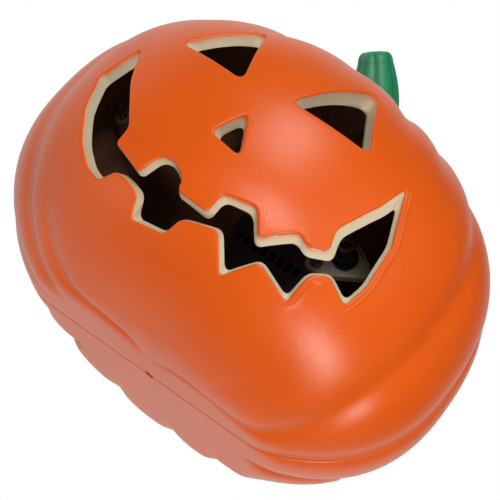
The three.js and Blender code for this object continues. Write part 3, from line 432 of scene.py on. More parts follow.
def room_beside(ring: Points, side: Points) -> Points:
    """Returns the radius of the largest circle that fits beside each point of a lip.

    Args:
        ring: The lip's points.
        side: The directions away from the opening.

    Returns:
        One radius for each point, so that walls offset by less never cross.
    """
    apart = ring[None, :, :] - ring[:, None, :]
    reach = np.einsum("ijk,ik->ij", apart, side)
    square = np.einsum("ijk,ijk->ij", apart, apart)
    radius = np.where(reach > 1e-7, square / np.maximum(2 * reach, 1e-9), np.inf)
    np.fill_diagonal(radius, np.inf)
    room = radius.min(axis=1)
    for _ in range(3):
        room = np.minimum(room, (np.roll(room, 1) + room + np.roll(room, -1)) / 3)
    return room


@dataclass(frozen=True)
class Rim:
    """The rim behind a lip, at the west and at the east end of the face.

    A rim has a depth, a draft that narrows it, and a share of the way from the surface's
    normal to straight backwards. The bead is the height of the thin ridge outside the lip,
    and the corner cut says how round the outline's corners are.
    """

    depth: Pair
    draft: Pair
    backwards: Pair
    bead: float
    corner_cut: float


EYE_RIM = Rim((6.0 * MM, 9.0 * MM), (0.6 * MM, 0.9 * MM), (0.2, 0.25), 0.2 * MM, 5.2 * MM)
NOSE_RIM = Rim((6.2 * MM, 6.2 * MM), (0.9 * MM, 0.9 * MM), (0.3, 0.3), 0.15 * MM, 4.2 * MM)
MOUTH_RIM = Rim((6.2 * MM, 5.0 * MM), (0.6 * MM, 2.1 * MM), (0.3, 0.8), 0.3 * MM, 2.4 * MM)
BORDER_PROFILE = (
    (1.0, 0.0), (0.88, 0.25), (0.78, 0.9), (0.7, 1.0), (0.62, 0.35), (0.5, -0.1), (0.25, 0.0),
)


@dataclass
class FaceCut:
    """Makes the openings of the carved face, with their rolled lips and return rims.

    The outlines are the openings' corners as seen from the front, in millimetres from the centre.
    """

    form: PumpkinForm
    rim_wall: float = 2.2 * MM
    inner_share: float = 1.25
    spacing: float = 1.3 * MM
    lip_round: float = 1.1 * MM
    lip_steps: int = 6
    lip_coat: float = 0.85
    lip_fade: float = 0.2
    room_share: float = 0.8
    roll_share: float = 0.4
    wall_coats: tuple = ((0.2, 0.3), (0.45, 0.12), (0.72, 0.04), (0.94, 0.0))
    end_shares: tuple = (0.2, 0.75)
    end_bevel: float = 0.5 * MM
    # Painted shade of the last rings of each rim, darkening towards the inside.
    inside_shade_ramp: tuple = (0.25, 0.7, 1.0, 1.0)
    border_reach: float = 3.4 * MM
    bead_low: float = 0.06
    bead_from: float = 44 * MM
    bead_full: float = 60 * MM
    bead_sides: Pair = (0.1, 0.6)
    west: float = -45 * MM
    east: float = 70 * MM
    left_eye: tuple = ((-45.4, 24.9), (-33.7, 39.8), (-21.6, 53.6), (-8.6, 18.8))
    right_eye: tuple = ((12.9, 22.2), (21.2, 40.2), (31.9, 57.5), (48.8, 25.5))
    nose: tuple = ((-3.8, -8.4), (3.3, 6.7), (12.4, -10.7))
    mouth: tuple = (
        (-61.4, 16), (-69.7, -2.4), (-62.2, -20.3), (-52.5, -33.5), (-43.7, -40.8), (-35.9, -43.5),
        (-29.5, -38.4), (-23.7, -39), (-15.6, -41.5), (-14, -49.4), (2, -48), (5.8, -41.2),
        (21.1, -37), (29.2, -48.4), (40.6, -36.8), (55.6, -41), (58, -28.5), (63.9, -23.7),
        (73.8, -27.4), (76.4, -16), (75.2, 3.4), (66.5, 26), (64.1, 12.1), (57, -8.7),
        (59.2, -17.1), (52.2, -21.7), (47, -19.7), (35.5, -30.8), (29.1, -22.5), (15.5, -25.9),
        (14, -34.4), (-0.8, -33.9), (-1.8, -29.2), (-8.9, -25.3), (-14.9, -26.4), (-20, -35.4),
        (-36.3, -29.6), (-35.2, -22.1), (-51.5, -2),
    )

    def openings(self) -> list[Opening]:
        """Returns the two eyes, the nose and the mouth."""
        return [
            self.opening("left_eye", self.left_eye, EYE_RIM),
            self.opening("right_eye", self.right_eye, EYE_RIM),
            self.opening("nose", self.nose, NOSE_RIM),
            self.opening("mouth", self.mouth, MOUTH_RIM),
        ]

    def along_face(self, x: Points, ends: Pair) -> Points:
        """Returns a value that goes from one to the other between the west and the east of the face."""
        return ends[0] + (ends[1] - ends[0]) * smooth_step(x, self.west, self.east)

    def opening(self, name: str, corners: Sequence[Pair], rim: Rim) -> Opening:
        """Builds the rings of one opening, from the outer skin over the lip to the inner skin.

        Args:
            name: The opening's name.
            corners: Its outline's corners as seen from the front, in millimetres.
            rim: The form of its rim.

        Returns:
            The opening.
        """
        form = self.form
        places = [(x * MM, z * MM) for x, z in corners]
        steps = edge_steps(places, self.spacing)
        outline = rounded_outline(places, rim.corner_cut, steps)
        across = np.array(places)[:, 0]
        narrow = inset_corners(places, self.along_face(across, rim.draft))
        inner_cut = self.inner_share * rim.corner_cut
        throat = rounded_outline([tuple(corner) for corner in narrow], inner_cut, steps)
        flat = form.on_side(outline, Half.FRONT)
        normal = form.normal_at(flat, creased=False)
        lip = form.onto(flat)
        side = side_vectors(flat, normal)
        room = room_beside(flat, side)
        reach = np.minimum(self.border_reach, self.room_share * room)
        roll = np.minimum(self.lip_round, self.roll_share * reach)
        raised = smooth_step(outline[:, 0], self.bead_from, self.bead_full)
        raised = raised * smooth_step(side[:, 0], *self.bead_sides)
        raised = rim.bead * (self.bead_low + (1 - self.bead_low) * raised) * reach / self.border_reach
        rings, paint = [], []
        for share, height in BORDER_PROFILE:
            away = roll + (reach - roll) * share
            rings.append(form.onto(lip + side * away[:, None]) + normal * (raised * height)[:, None])
            paint.append(1.0)
        for step, (away, sunk) in enumerate(quarter_round(self.lip_steps), 2 - self.lip_steps):
            rolled = form.onto(lip + side * (roll * away)[:, None])
            rings.append(rolled - normal * (roll * sunk)[:, None])
            paint.append(1.0 if step < 0 else self.lip_coat - self.lip_fade * step)
        backwards = self.along_face(outline[:, 0], rim.backwards)[:, None]
        inward = -normal * (1 - backwards) + np.array([0.0, 1.0, 0.0]) * backwards
        inward /= np.linalg.norm(inward, axis=1, keepdims=True)
        depth = self.along_face(outline[:, 0], rim.depth)
        for share, coat in self.wall_coats:
            between = outline * (1 - share) + throat * share
            base = form.on_side(between, Half.FRONT)
            rings.append(base + inward * (roll + (depth - roll) * share)[:, None])
            paint.append(coat)
        wall = np.minimum(self.rim_wall, self.room_share * room)
        base = form.on_side(throat, Half.FRONT)
        for share in self.end_shares:
            rings.append(base + inward * depth[:, None] + side * (wall * share)[:, None])
        rings.append(base + inward * (depth - self.end_bevel)[:, None] + side * wall[:, None])
        rings.append(lip + side * wall[:, None] - normal * form.wall)
        bare = [0.0] * (len(rings) - len(paint))
        # Painted shade: the rim darkens over its last rings towards the inside.
        dark = [0.0] * (len(rings) - len(self.inside_shade_ramp)) + list(self.inside_shade_ramp)
        return Opening(name, rings, paint + bare, dark)


@dataclass
class BackCut:
    """Makes the openings of the back: the battery window, the switch slot and the screw tunnels."""

    form: PumpkinForm
    edge_round: float = 0.7 * MM
    edge_steps: int = 4
    window_round: float = 1.5 * MM
    window_half_width: float = 34.1 * MM
    window_bottom: float = -31.1 * MM
    window_top: float = 30.1 * MM
    window_spacing: float = 1.6 * MM
    slot_half_width: float = 2.5 * MM
    slot_half_length: float = 5 * MM
    slot_round: float = 1 * MM
    slot_spacing: float = 0.8 * MM
    switch_turn: float = 166.0
    switch_tilt: float = 116.0
    tunnel_radius: float = 3.4 * MM
    tunnel_floor: float = 8 * MM
    tunnel_coat_depth: float = 3 * MM
    hole_radius: float = 1.8 * MM
    boss_radius: float = 5 * MM
    tunnels: tuple = ((101, 30), (-101, 30), (90, -44), (-90, -44))

    def openings(self) -> list[Opening]:
        """Returns the window, the slot and the four tunnels."""
        return [self.window(), self.slot()] + [
            self.tunnel(i + 1, x * MM, z * MM) for i, (x, z) in enumerate(self.tunnels)
        ]

    def lip(self, edge: Points, side: Points, inwards: Points) -> tuple[list[Points], list[float]]:
        """Returns the rings of a small rolled edge and their paint."""
        rings = []
        for away, sunk in quarter_round(self.edge_steps):
            rolled = self.form.onto(edge + side * (self.edge_round * away))
            rings.append(rolled + inwards * (self.edge_round * sunk))
        return rings, [1.0] * self.edge_steps + [0.8]

    def straight(self, name: str, edge: Points, depth: float) -> Opening:
        """Makes an opening whose wall runs straight through the shell, along the lip's mean normal."""
        normal = self.form.normal_at(edge, creased=False)
        side = side_vectors(edge, normal)
        rings, paint = self.lip(edge, side, -normal)
        rings.append(edge - normal * (depth * 0.6))
        rings.append(edge - normal * depth)
        paint += [0.35, 0.0]
        # Painted shade: the wall's inner end gets the dark inside colour.
        return Opening(name, rings, paint, [0.0] * (len(rings) - 1) + [1.0])

    def window(self) -> Opening:
        """Makes the window that the battery case fills."""
        low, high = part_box("battery_case")
        log.info("battery window between %.4f and %.4f", low.z, high.z)
        corners = rectangle(self.window_half_width, self.window_bottom, self.window_top)
        steps = edge_steps(corners, self.window_spacing)
        outline = rounded_outline(corners, self.window_round, steps)[::-1]
        edge = self.form.on_side(outline, Half.BACK)
        return self.straight("battery_window", edge, self.form.wall)

    def slot(self) -> Opening:
        """Makes the slot that the switch knob slides in."""
        turn, tilt = np.array([self.switch_turn]), np.array([self.switch_tilt])
        out = Vector(self.form.normal(turn, tilt)[0])
        up = (Vector((0, 0, 1)) - out * out.z).normalized()
        side = up.cross(out)
        middle = Vector(self.form.local(turn, tilt)[0])
        corners = rectangle(self.slot_half_width, -self.slot_half_length, self.slot_half_length)
        outline = rounded_outline(corners, self.slot_round, edge_steps(corners, self.slot_spacing))
        flat = np.array([middle + side * x + up * y for x, y in outline])
        return self.straight("switch_slot", self.form.onto(flat), self.form.wall)

    def tunnel(self, number: int, x: float, z: float) -> Opening:
        """Makes the tunnel over a shell screw, with its floor and the boss round it."""
        outline = circle_outline(x, z, self.tunnel_radius)[::-1]
        edge = self.form.on_side(outline, Half.BACK)
        side = side_vectors(edge, self.form.normal_at(edge, creased=False))
        forwards = np.array([0.0, -1.0, 0.0])
        rings, paint = self.lip(edge, side, forwards)
        wide = circle_outline(x, z, self.boss_radius)[::-1]
        narrow = circle_outline(x, z, self.hole_radius)[::-1]
        for flat, y in ((outline, None), (outline, self.tunnel_floor), (narrow, self.tunnel_floor),
                        (narrow, SEAM_GAP / 2), (wide, SEAM_GAP / 2)):
            depth = edge[:, 1] - self.tunnel_coat_depth if y is None else np.full(len(flat), y)
            rings.append(np.stack([flat[:, 0], depth, flat[:, 1]], axis=-1))
            paint.append(0.4 if y is None else 0.0)
        under = self.form.on_side(wide, Half.BACK)
        rings.append(under - self.form.normal_at(under) * self.form.wall)
        paint.append(0.0)
        # Painted shade: the boss's last two rings, beside the seam, get the dark inside colour.
        return Opening(f"screw_tunnel_{number}", rings, paint, [0.0] * (len(rings) - 2) + [1.0, 1.0])


@dataclass
class HalfShell:
    """One moulded half of the pumpkin, with its lips, bosses and seam edge."""

    form: PumpkinForm
    half: Half
    openings: list[Opening]
    turn_step: float = 1.0
    tilt_step: float = 1.25
    inner_step: float = 3.2
    crown_tilt: float = 5.95
    foot_tilt: float = 178.1
    seam_round: float = 0.9 * MM
    lip_reach: float = 3 * MM
    lip_wall: float = 1.1 * MM
    fit_gap: float = 0.3 * MM
    clear_of_lip: float = 0.8 * MM
    skin_depth: float = 1.3 * MM
    seam_turns: tuple = (0.0, 0.1, 0.22, 0.38, 0.58)
    inner_seam_turns: tuple = (0.0, 1.2)
    mesh: Mesh = field(default_factory=bmesh.new)

    @property
    def turns(self) -> Pair:
        """The turns of the seam on both sides of this half."""
        return (-90.0, 90.0) if self.half is Half.FRONT else (90.0, 270.0)

    def columns(self, step: float, seams: Sequence[float]) -> Points:
        """Returns the turns of the skin's columns, closer together beside the seam."""
        low, high = self.turns
        inner = np.arange(low + step, high - step / 2, step)
        ends = np.array(seams)
        return np.unique(np.round(np.concatenate([low + ends, inner, high - ends]), 6))

    def place(self, turn: Points, tilt: Points, inset: float = 0.0) -> Points:
        """Returns points of the half's skin, rolled in beside the seam and kept off it."""
        point = self.form.local(turn, tilt)
        normal = self.form.normal(turn, tilt)
        away = np.abs(point[..., 1])
        sunk = np.zeros_like(away)
        if inset == 0.0:
            short = np.clip(self.seam_round - away, 0.0, self.seam_round)
            sunk = self.seam_round - np.sqrt(self.seam_round ** 2 - short ** 2)
        point = point - normal * (inset + sunk)[..., None]
        return self.off_seam(point, SEAM_GAP / 2)

    def off_seam(self, point: Points, gap: float) -> Points:
        """Keeps points at least gap on this half's side of the seam."""
        kept = point.copy()
        if self.half is Half.FRONT:
            kept[..., 1] = np.minimum(kept[..., 1], -gap)
        else:
            kept[..., 1] = np.maximum(kept[..., 1], gap)
        return kept

    def border(self) -> Points:
        """Returns the angles of the border of the half's skin, in order."""
        cols = self.columns(self.turn_step, self.seam_turns)
        count = int((self.foot_tilt - self.crown_tilt) / self.tilt_step)
        rows = np.linspace(self.crown_tilt, self.foot_tilt, count)
        top = [(turn, self.crown_tilt) for turn in cols[:-1]]
        far = [(cols[-1], tilt) for tilt in rows[:-1]]
        foot = [(turn, self.foot_tilt) for turn in cols[:0:-1]]
        near = [(cols[0], tilt) for tilt in rows[:0:-1]]
        return np.array(top + far + foot + near)

    def angles_of(self, ring: Points) -> Points:
        """Returns a ring's turns and tilts, with the turns in this half's range."""
        turn, tilt = self.form.angles(ring)
        if self.half is Half.BACK:
            turn = np.where(turn < 0, turn + 360.0, turn)
        return np.stack([turn, tilt], axis=-1)

    @staticmethod
    def clear_points(grid: Points, spots: Points, rings: list[Points], loops: list[Points],
                     clear: float) -> Points:
        """Tells which points of the skin's grid lie outside the holes and clear of their edges.

        Args:
            grid: The points' angles.
            spots: The points' places.
            rings: The places of the holes' rings.
            loops: The angles of the holes' rings.
            clear: How far the points stay from the rings.

        Returns:
            One True or False for each point.
        """
        keep = np.ones(len(grid), dtype=bool)
        for ring, loop in zip(rings, loops):
            keep &= ~inside_loop(grid, loop)
            near = np.linalg.norm(spots - ring.mean(axis=0), axis=1) < np.ptp(ring, axis=0).max()
            index = np.nonzero(near & keep)[0]
            gap = np.linalg.norm(spots[index, None, :] - ring[None, :, :], axis=2).min(axis=1)
            keep[index[gap < clear]] = False
        return keep

    def skin(self, border: Points, rings: list[Points], inner: bool) -> list[Row]:
        """Makes the outer or the inner skin as a sheet with a hole at each ring.

        Args:
            border: The angles of the skin's border.
            rings: The places of the holes' rings.
            inner: Whether this is the inner skin.

        Returns:
            The vertices of the border, then those of each ring.
        """
        step = self.inner_step if inner else self.turn_step
        seams = self.inner_seam_turns if inner else self.seam_turns
        cols = self.columns(step, seams)[1:-1]
        rows = np.arange(self.crown_tilt, self.foot_tilt, step if inner else self.tilt_step)[1:]
        grid = np.stack(np.meshgrid(cols, rows, indexing="ij"), axis=-1).reshape(-1, 2)
        loops = [border] + [self.angles_of(ring) for ring in rings]
        inset = self.form.wall if inner else 0.0
        spots = self.place(grid[:, 0], grid[:, 1], inset)
        keep = self.clear_points(grid, spots, rings, loops[1:], self.clear_of_lip * (2.0 if inner else 1.0))
        border_place = self.place(border[:, 0], border[:, 1], inset)
        places = np.concatenate([border_place] + rings + [spots[keep]])
        verts: dict[int, bmesh.types.BMVert] = {}
        for ids in sheet(loops, grid[keep]):
            if -1 in ids or len(set(ids)) < 3:
                log.warning("a stray corner in the skin of %s", self.half.value)
                continue
            for i in ids:
                if i not in verts:
                    verts[i] = self.mesh.verts.new(Vector(places[i]) + self.form.centre)
            self.mesh.faces.new([verts[i] for i in (ids if inner else reversed(ids))])
        found, start = [], 0
        for loop in loops:
            found.append([verts[start + i] for i in range(len(loop))])
            start += len(loop)
        return found

    def wall_rings(self, first: Row, rings: list[Points], last: Row) -> list[Row]:
        """Joins a row of vertices over the given rings to another row.

        Args:
            first: The vertices that the wall starts from.
            rings: The places of the rings between.
            last: The vertices that the wall ends at.

        Returns:
            The new rows of vertices.
        """
        rows = [[self.mesh.verts.new(Vector(point) + self.form.centre) for point in ring] for ring in rings]
        chain = [first] + rows + [last]
        for low, high in zip(chain, chain[1:]):
            join_rows(self.mesh, low, high)
        return rows

    def seam_rings(self, border: Points) -> list[Points]:
        """Returns the rings of the edge between the outer and the inner skin, with its shiplap."""
        turn, tilt = border[:, 0], border[:, 1]
        at_seam = np.abs(np.cos(np.radians(turn))) < 1e-6
        front = self.half is Half.FRONT
        middle = self.form.wall - self.lip_wall - (0.0 if front else self.fit_gap)
        reach = self.lip_reach - (SEAM_GAP if front else 0.0)
        rings = []
        for inset, shift in ((middle, 0.0), (middle, reach), (self.form.wall, reach)):
            ring = self.place(turn, tilt, inset)
            ring[at_seam, 1] = SEAM_GAP / 2 * (-1.0 if front else 1.0)
            if shift:
                ring[at_seam, 1] = shift
            rings.append(ring)
        return rings

    def build(self) -> bpy.types.Object:
        """Builds the half shell as one closed mesh.

        Returns:
            The half shell's object.
        """
        border = self.border()
        outer = self.skin(border, [opening.outer for opening in self.openings], inner=False)
        inner = self.skin(border, [opening.inner for opening in self.openings], inner=True)
        coat = {vert: 1.0 for loop in outer for vert in loop}
        shade = {vert: 0.0 for loop in outer for vert in loop}
        for opening, first, last in zip(self.openings, outer[1:], inner[1:]):
            log.info("%s: %s with %d rings", self.half.value, opening.name, len(opening.rings))
            rows = self.wall_rings(first, opening.rings[1:-1], last)
            for row, paint, dark in zip(rows, opening.paint[1:], opening.dark[1:]):
                coat.update({vert: paint for vert in row})
                shade.update({vert: dark for vert in row})
        self.wall_rings(outer[0], self.seam_rings(border), inner[0])
        painted, dark = self.layers(coat, shade)
        bmesh.ops.recalc_face_normals(self.mesh, faces=self.mesh.faces)
        loose = [edge for edge in self.mesh.edges if not edge.is_manifold]
        log.info("%s: %d faces, %d open edges", self.half.value, len(self.mesh.faces), len(loose))
        return shell_object(self.half.value, self.mesh, painted, dark)

    def layers(self, coat: dict, shade: dict) -> tuple[list[float], list[float]]:
        """Works out where the paint and the painted shade of the inside are, for each vertex in order."""
        self.mesh.verts.index_update()
        places = np.array([vert.co[:] for vert in self.mesh.verts]) - np.array(self.form.centre)
        turn, tilt = self.form.angles(places)
        depth = self.form.radius(turn, tilt) - np.linalg.norm(places, axis=1)
        # Painted shade: points below the outer skin, on the inside, are marked dark.
        dark = [0.0 if value < self.skin_depth else 1.0 for value in depth]
        painted = [1.0 - value for value in dark]
        for vert, paint in coat.items():
            painted[vert.index] = paint
        for vert, value in shade.items():
            dark[vert.index] = value
        return painted, dark


def inside_loop(points: Points, loop: Points) -> Points:
    """Tells which points lie inside a closed loop in the plane.

    Args:
        points: The points to test.
        loop: The loop's corners in order.

    Returns:
        One True or False for each point.
    """
    low, high = loop.min(axis=0), loop.max(axis=0)
    near = np.nonzero(np.all((points >= low) & (points <= high), axis=1))[0]
    inside = np.zeros(len(points), dtype=bool)
    x, y = points[near, 0], points[near, 1]
    odd = np.zeros(len(near), dtype=bool)
    for (x0, y0), (x1, y1) in zip(loop, np.roll(loop, -1, axis=0)):
        if y0 == y1:
            continue
        crosses = (y0 > y) != (y1 > y)
        odd ^= crosses & (x < (x1 - x0) * (y - y0) / (y1 - y0) + x0)
    inside[near] = odd
    return inside


def sheet(loops: list[Points], points: Points) -> list[list[int]]:
    """Fills a closed loop in the plane with triangles and leaves its holes open.

    Args:
        loops: The loop, then the loops of the holes.
        points: Further points for the triangles.

    Returns:
        The triangles' corners, counted through the loops and then the further points.
    """
    edges, start = [], 0
    for loop in loops:
        count = len(loop)
        edges += [(start + i, start + (i + 1) % count) for i in range(count)]
        start += count
    flat = [Vector(point) for point in np.concatenate(loops + [points])]
    verts, _, faces, sources, *_ = geometry.delaunay_2d_cdt(flat, edges, [], 1, 1e-7)
    origins = [source[0] if source else -1 for source in sources]
    middles = np.array([[verts[i][:] for i in face] for face in faces]).mean(axis=1)
    solid = np.ones(len(middles), dtype=bool)
    for loop in loops[1:]:
        solid &= ~inside_loop(middles, loop)
    return [[origins[i] for i in face] for face, kept in zip(faces, solid) if kept]


def shell_object(name: str, mesh: Mesh, painted: Sequence[float],
                 dark: Sequence[float]) -> bpy.types.Object:
    """Makes a half shell's object with its paint layer and its dark layer of painted shade as point
    attributes.
    """
    piece = finished(name + "_dressed", mesh, 50.0)
    for label, values in (("paint", painted), ("dark", dark)):
        layer = piece.data.attributes.new(label, "FLOAT", "POINT")
        layer.data.foreach_set("value", np.array(values, dtype=np.float32))
    return piece


def linked(name: str, data: bpy.types.Mesh) -> bpy.types.Object:
    """Makes an object of a mesh and puts it in the scene."""
    piece = bpy.data.objects.new(name, data)
    bpy.context.scene.collection.objects.link(piece)
    return piece


class Tree:
    """A node tree that is filled step by step."""

    def __init__(self, tree: bpy.types.NodeTree) -> None:
        """Takes over an empty node tree."""
        self.tree = tree

    def node(self, kind: str, inputs: dict | None = None, **settings: object) -> bpy.types.Node:
        """Adds a node.

        Args:
            kind: The node's type.
            inputs: Values or output sockets for its inputs, by name or number.
            **settings: Values for the node's own properties.

        Returns:
            The new node.
        """
        made = self.tree.nodes.new(kind)
        for key, value in settings.items():
            setattr(made, key, value)
        for key, value in (inputs or {}).items():
            if isinstance(value, Socket):
                self.tree.links.new(value, made.inputs[key])
            else:
                made.inputs[key].default_value = value
        return made

    def place(self) -> Socket:
        """Adds the place on the object and returns the output."""
        return self.node("ShaderNodeTexCoord").outputs["Object"]

    def upward(self) -> Socket:
        """Adds how far the surface faces up, from -1 to 1, and returns the output."""
        normal = self.node("ShaderNodeNewGeometry").outputs["Normal"]
        return self.node("ShaderNodeSeparateXYZ", {0: normal}).outputs["Z"]

    def layer(self, name: str) -> Socket:
        """Adds the value of one of the mesh's point layers and returns the output."""
        return self.node("ShaderNodeAttribute", attribute_name=name).outputs["Fac"]

    def maths(self, operation: str, *values: object) -> Socket:
        """Adds a Math node and returns its output."""
        return self.node("ShaderNodeMath", dict(enumerate(values)), operation=operation).outputs[0]

    def span(self, value: Socket, low: float, high: float,
             to_low: object = 0.0, to_high: object = 1.0) -> Socket:
        """Maps a value from one range to another, clamped, and returns the output."""
        inputs = {"Value": value, "From Min": low, "From Max": high, "To Min": to_low, "To Max": to_high}
        return self.node("ShaderNodeMapRange", inputs).outputs["Result"]

    def mix(self, factor: object, first: object, second: object) -> Socket:
        """Mixes two numbers and returns the output."""
        return self.node("ShaderNodeMix", {0: factor, 2: first, 3: second}, data_type="FLOAT").outputs[0]

    def blend(self, factor: object, first: object, second: object) -> Socket:
        """Mixes two colours and returns the output."""
        first, second = (value if isinstance(value, Socket) else (*value, 1.0)
                         for value in (first, second))
        return self.node("ShaderNodeMix", {0: factor, 6: first, 7: second}, data_type="RGBA").outputs[2]

    def noise(self, vector: Socket, scale: object, detail: float = 2.0, roughness: float = 0.5) -> Socket:
        """Adds a noise texture and returns its value."""
        inputs = {"Vector": vector, "Scale": scale, "Detail": detail, "Roughness": roughness}
        return self.node("ShaderNodeTexNoise", inputs).outputs["Fac"]

    def stretched(self, vector: Socket, scale: Triple, turn: Triple = (0.0, 0.0, 0.0)) -> Socket:
        """Turns and scales a vector and returns the output."""
        return self.node("ShaderNodeMapping", {"Vector": vector, "Rotation": turn, "Scale": scale}).outputs[0]


def empty_tree(owner: bpy.types.Material | bpy.types.World) -> Tree:
    """Returns the emptied node tree of a material or a world."""
    owner.use_nodes = True
    owner.node_tree.nodes.clear()
    return Tree(owner.node_tree)


def effect_group(name: str, inputs: dict[str, float]) -> tuple[Tree, list, Socket]:
    """Starts a shader node group with one output.

    Args:
        name: The group's name.
        inputs: Its number inputs with their defaults.

    Returns:
        The group's tree, its input sockets in order and the socket that takes its result.
    """
    group = bpy.data.node_groups.new(name, "ShaderNodeTree")
    for label, value in inputs.items():
        socket = group.interface.new_socket(label, in_out="INPUT", socket_type="NodeSocketFloat")
        socket.default_value = value
    group.interface.new_socket("Value", in_out="OUTPUT", socket_type="NodeSocketFloat")
    tree = Tree(group)
    source, sink = tree.node("NodeGroupInput"), tree.node("NodeGroupOutput")
    return tree, [source.outputs[label] for label in inputs], sink.inputs["Value"]


class Effects:
    """The node groups that the finishes share."""

    def __init__(self) -> None:
        """Builds every group once."""
        self.grain = self._grain()
        self.mottle = self._mottle()
        self.dust = self._dust()
        self.scuffs = self._scuffs()

    @staticmethod
    def _grain() -> bpy.types.NodeTree:
        """Fine bumps of a moulded or sprayed surface, with slow waves under them."""
        tree, (fine_scale, wave_scale, wave_share), out = effect_group(
            "Moulded grain", {"Grain scale": 900.0, "Wave scale": 60.0, "Wave share": 0.35})
        place = tree.place()
        fine = tree.noise(place, fine_scale, 3.0, 0.55)
        waves = tree.maths("MULTIPLY", tree.noise(place, wave_scale, 1.0, 0.4), wave_share)
        tree.tree.links.new(tree.maths("ADD", fine, waves), out)
        return tree.tree

    @staticmethod
    def _mottle() -> bpy.types.NodeTree:
        """Slow and fine unevenness of a colour or a gloss, from 0 to 1."""
        tree, (patch_scale, speck_scale, speck_share), out = effect_group(
            "Mottle", {"Patch scale": 18.0, "Speck scale": 260.0, "Speck share": 0.3})
        place = tree.place()
        patch = tree.noise(place, patch_scale, 4.0, 0.55)
        speck = tree.noise(place, speck_scale, 2.0, 0.6)
        tree.tree.links.new(tree.span(tree.mix(speck_share, patch, speck), 0.3, 0.7), out)
        return tree.tree

    @staticmethod
    def _dust() -> bpy.types.NodeTree:
        """Thin dust that lies on what faces up."""
        tree, (amount,), out = effect_group("Settled dust", {"Amount": 0.2})
        facing = tree.span(tree.upward(), 0.3, 1.0)
        patch = tree.span(tree.noise(tree.place(), 45.0, 5.0, 0.65), 0.35, 0.75)
        tree.tree.links.new(tree.maths("MULTIPLY", tree.maths("MULTIPLY", facing, patch), amount), out)
        return tree.tree

    @staticmethod
    def _scuffs() -> bpy.types.NodeTree:
        """Short faint rubs left by handling."""
        tree, (amount,), out = effect_group("Handling scuffs", {"Amount": 0.5})
        place = tree.place()
        slanted = tree.stretched(place, (1.0, 0.12, 1.0), (0.5, 0.9, 0.3))
        streak = tree.span(tree.noise(slanted, 420.0, 3.0, 0.7), 0.62, 0.72)
        where = tree.span(tree.noise(place, 26.0, 2.0, 0.5), 0.52, 0.66)
        tree.tree.links.new(tree.maths("MULTIPLY", tree.maths("MULTIPLY", streak, where), amount), out)
        return tree.tree


def use_group(tree: Tree, group: bpy.types.NodeTree, *values: float) -> Socket:
    """Places a shared group in a material.

    Args:
        tree: The material's tree.
        group: The group.
        *values: The values of its inputs, in order.

    Returns:
        The group's result.
    """
    return tree.node("ShaderNodeGroup", dict(enumerate(values)), node_tree=group).outputs[0]


class Finish:
    """What the finishes share.

    Every finish has a name and a mottle: the scale of slow patches, the scale of fine specks and
    the specks' share. It may have a grain: the scale of fine grain, the scale of slow waves and
    the waves' share. The relief is how strong and how deep the bumps are. Other pairs of numbers
    are the ends of a range.
    """

    name: str
    mottle: Triple
    grain: Triple
    relief: Pair

    def material(self, effects: Effects) -> bpy.types.Material:
        """Builds the finish's material.

        Args:
            effects: The shared node groups.

        Returns:
            The material.
        """
        material = bpy.data.materials.new(self.name)
        tree = empty_tree(material)
        mottle = use_group(tree, effects.mottle, *self.mottle)
        shader = tree.node("ShaderNodeBsdfPrincipled", self.inputs(tree, effects, mottle))
        tree.node("ShaderNodeOutputMaterial", {"Surface": shader.outputs[0]})
        return material

    def inputs(self, tree: Tree, effects: Effects, mottle: Socket) -> dict:
        """Returns the shader's inputs by name."""
        raise NotImplementedError

    def bumps(self, tree: Tree, height: Socket) -> Socket:
        """Returns the normal that a height gives with the finish's relief."""
        inputs = {"Height": height, "Strength": self.relief[0], "Distance": self.relief[1]}
        return tree.node("ShaderNodeBump", inputs).outputs[0]

    def grained(self, tree: Tree, effects: Effects) -> Socket:
        """Returns the height of the finish's grain."""
        return use_group(tree, effects.grain, *self.grain)


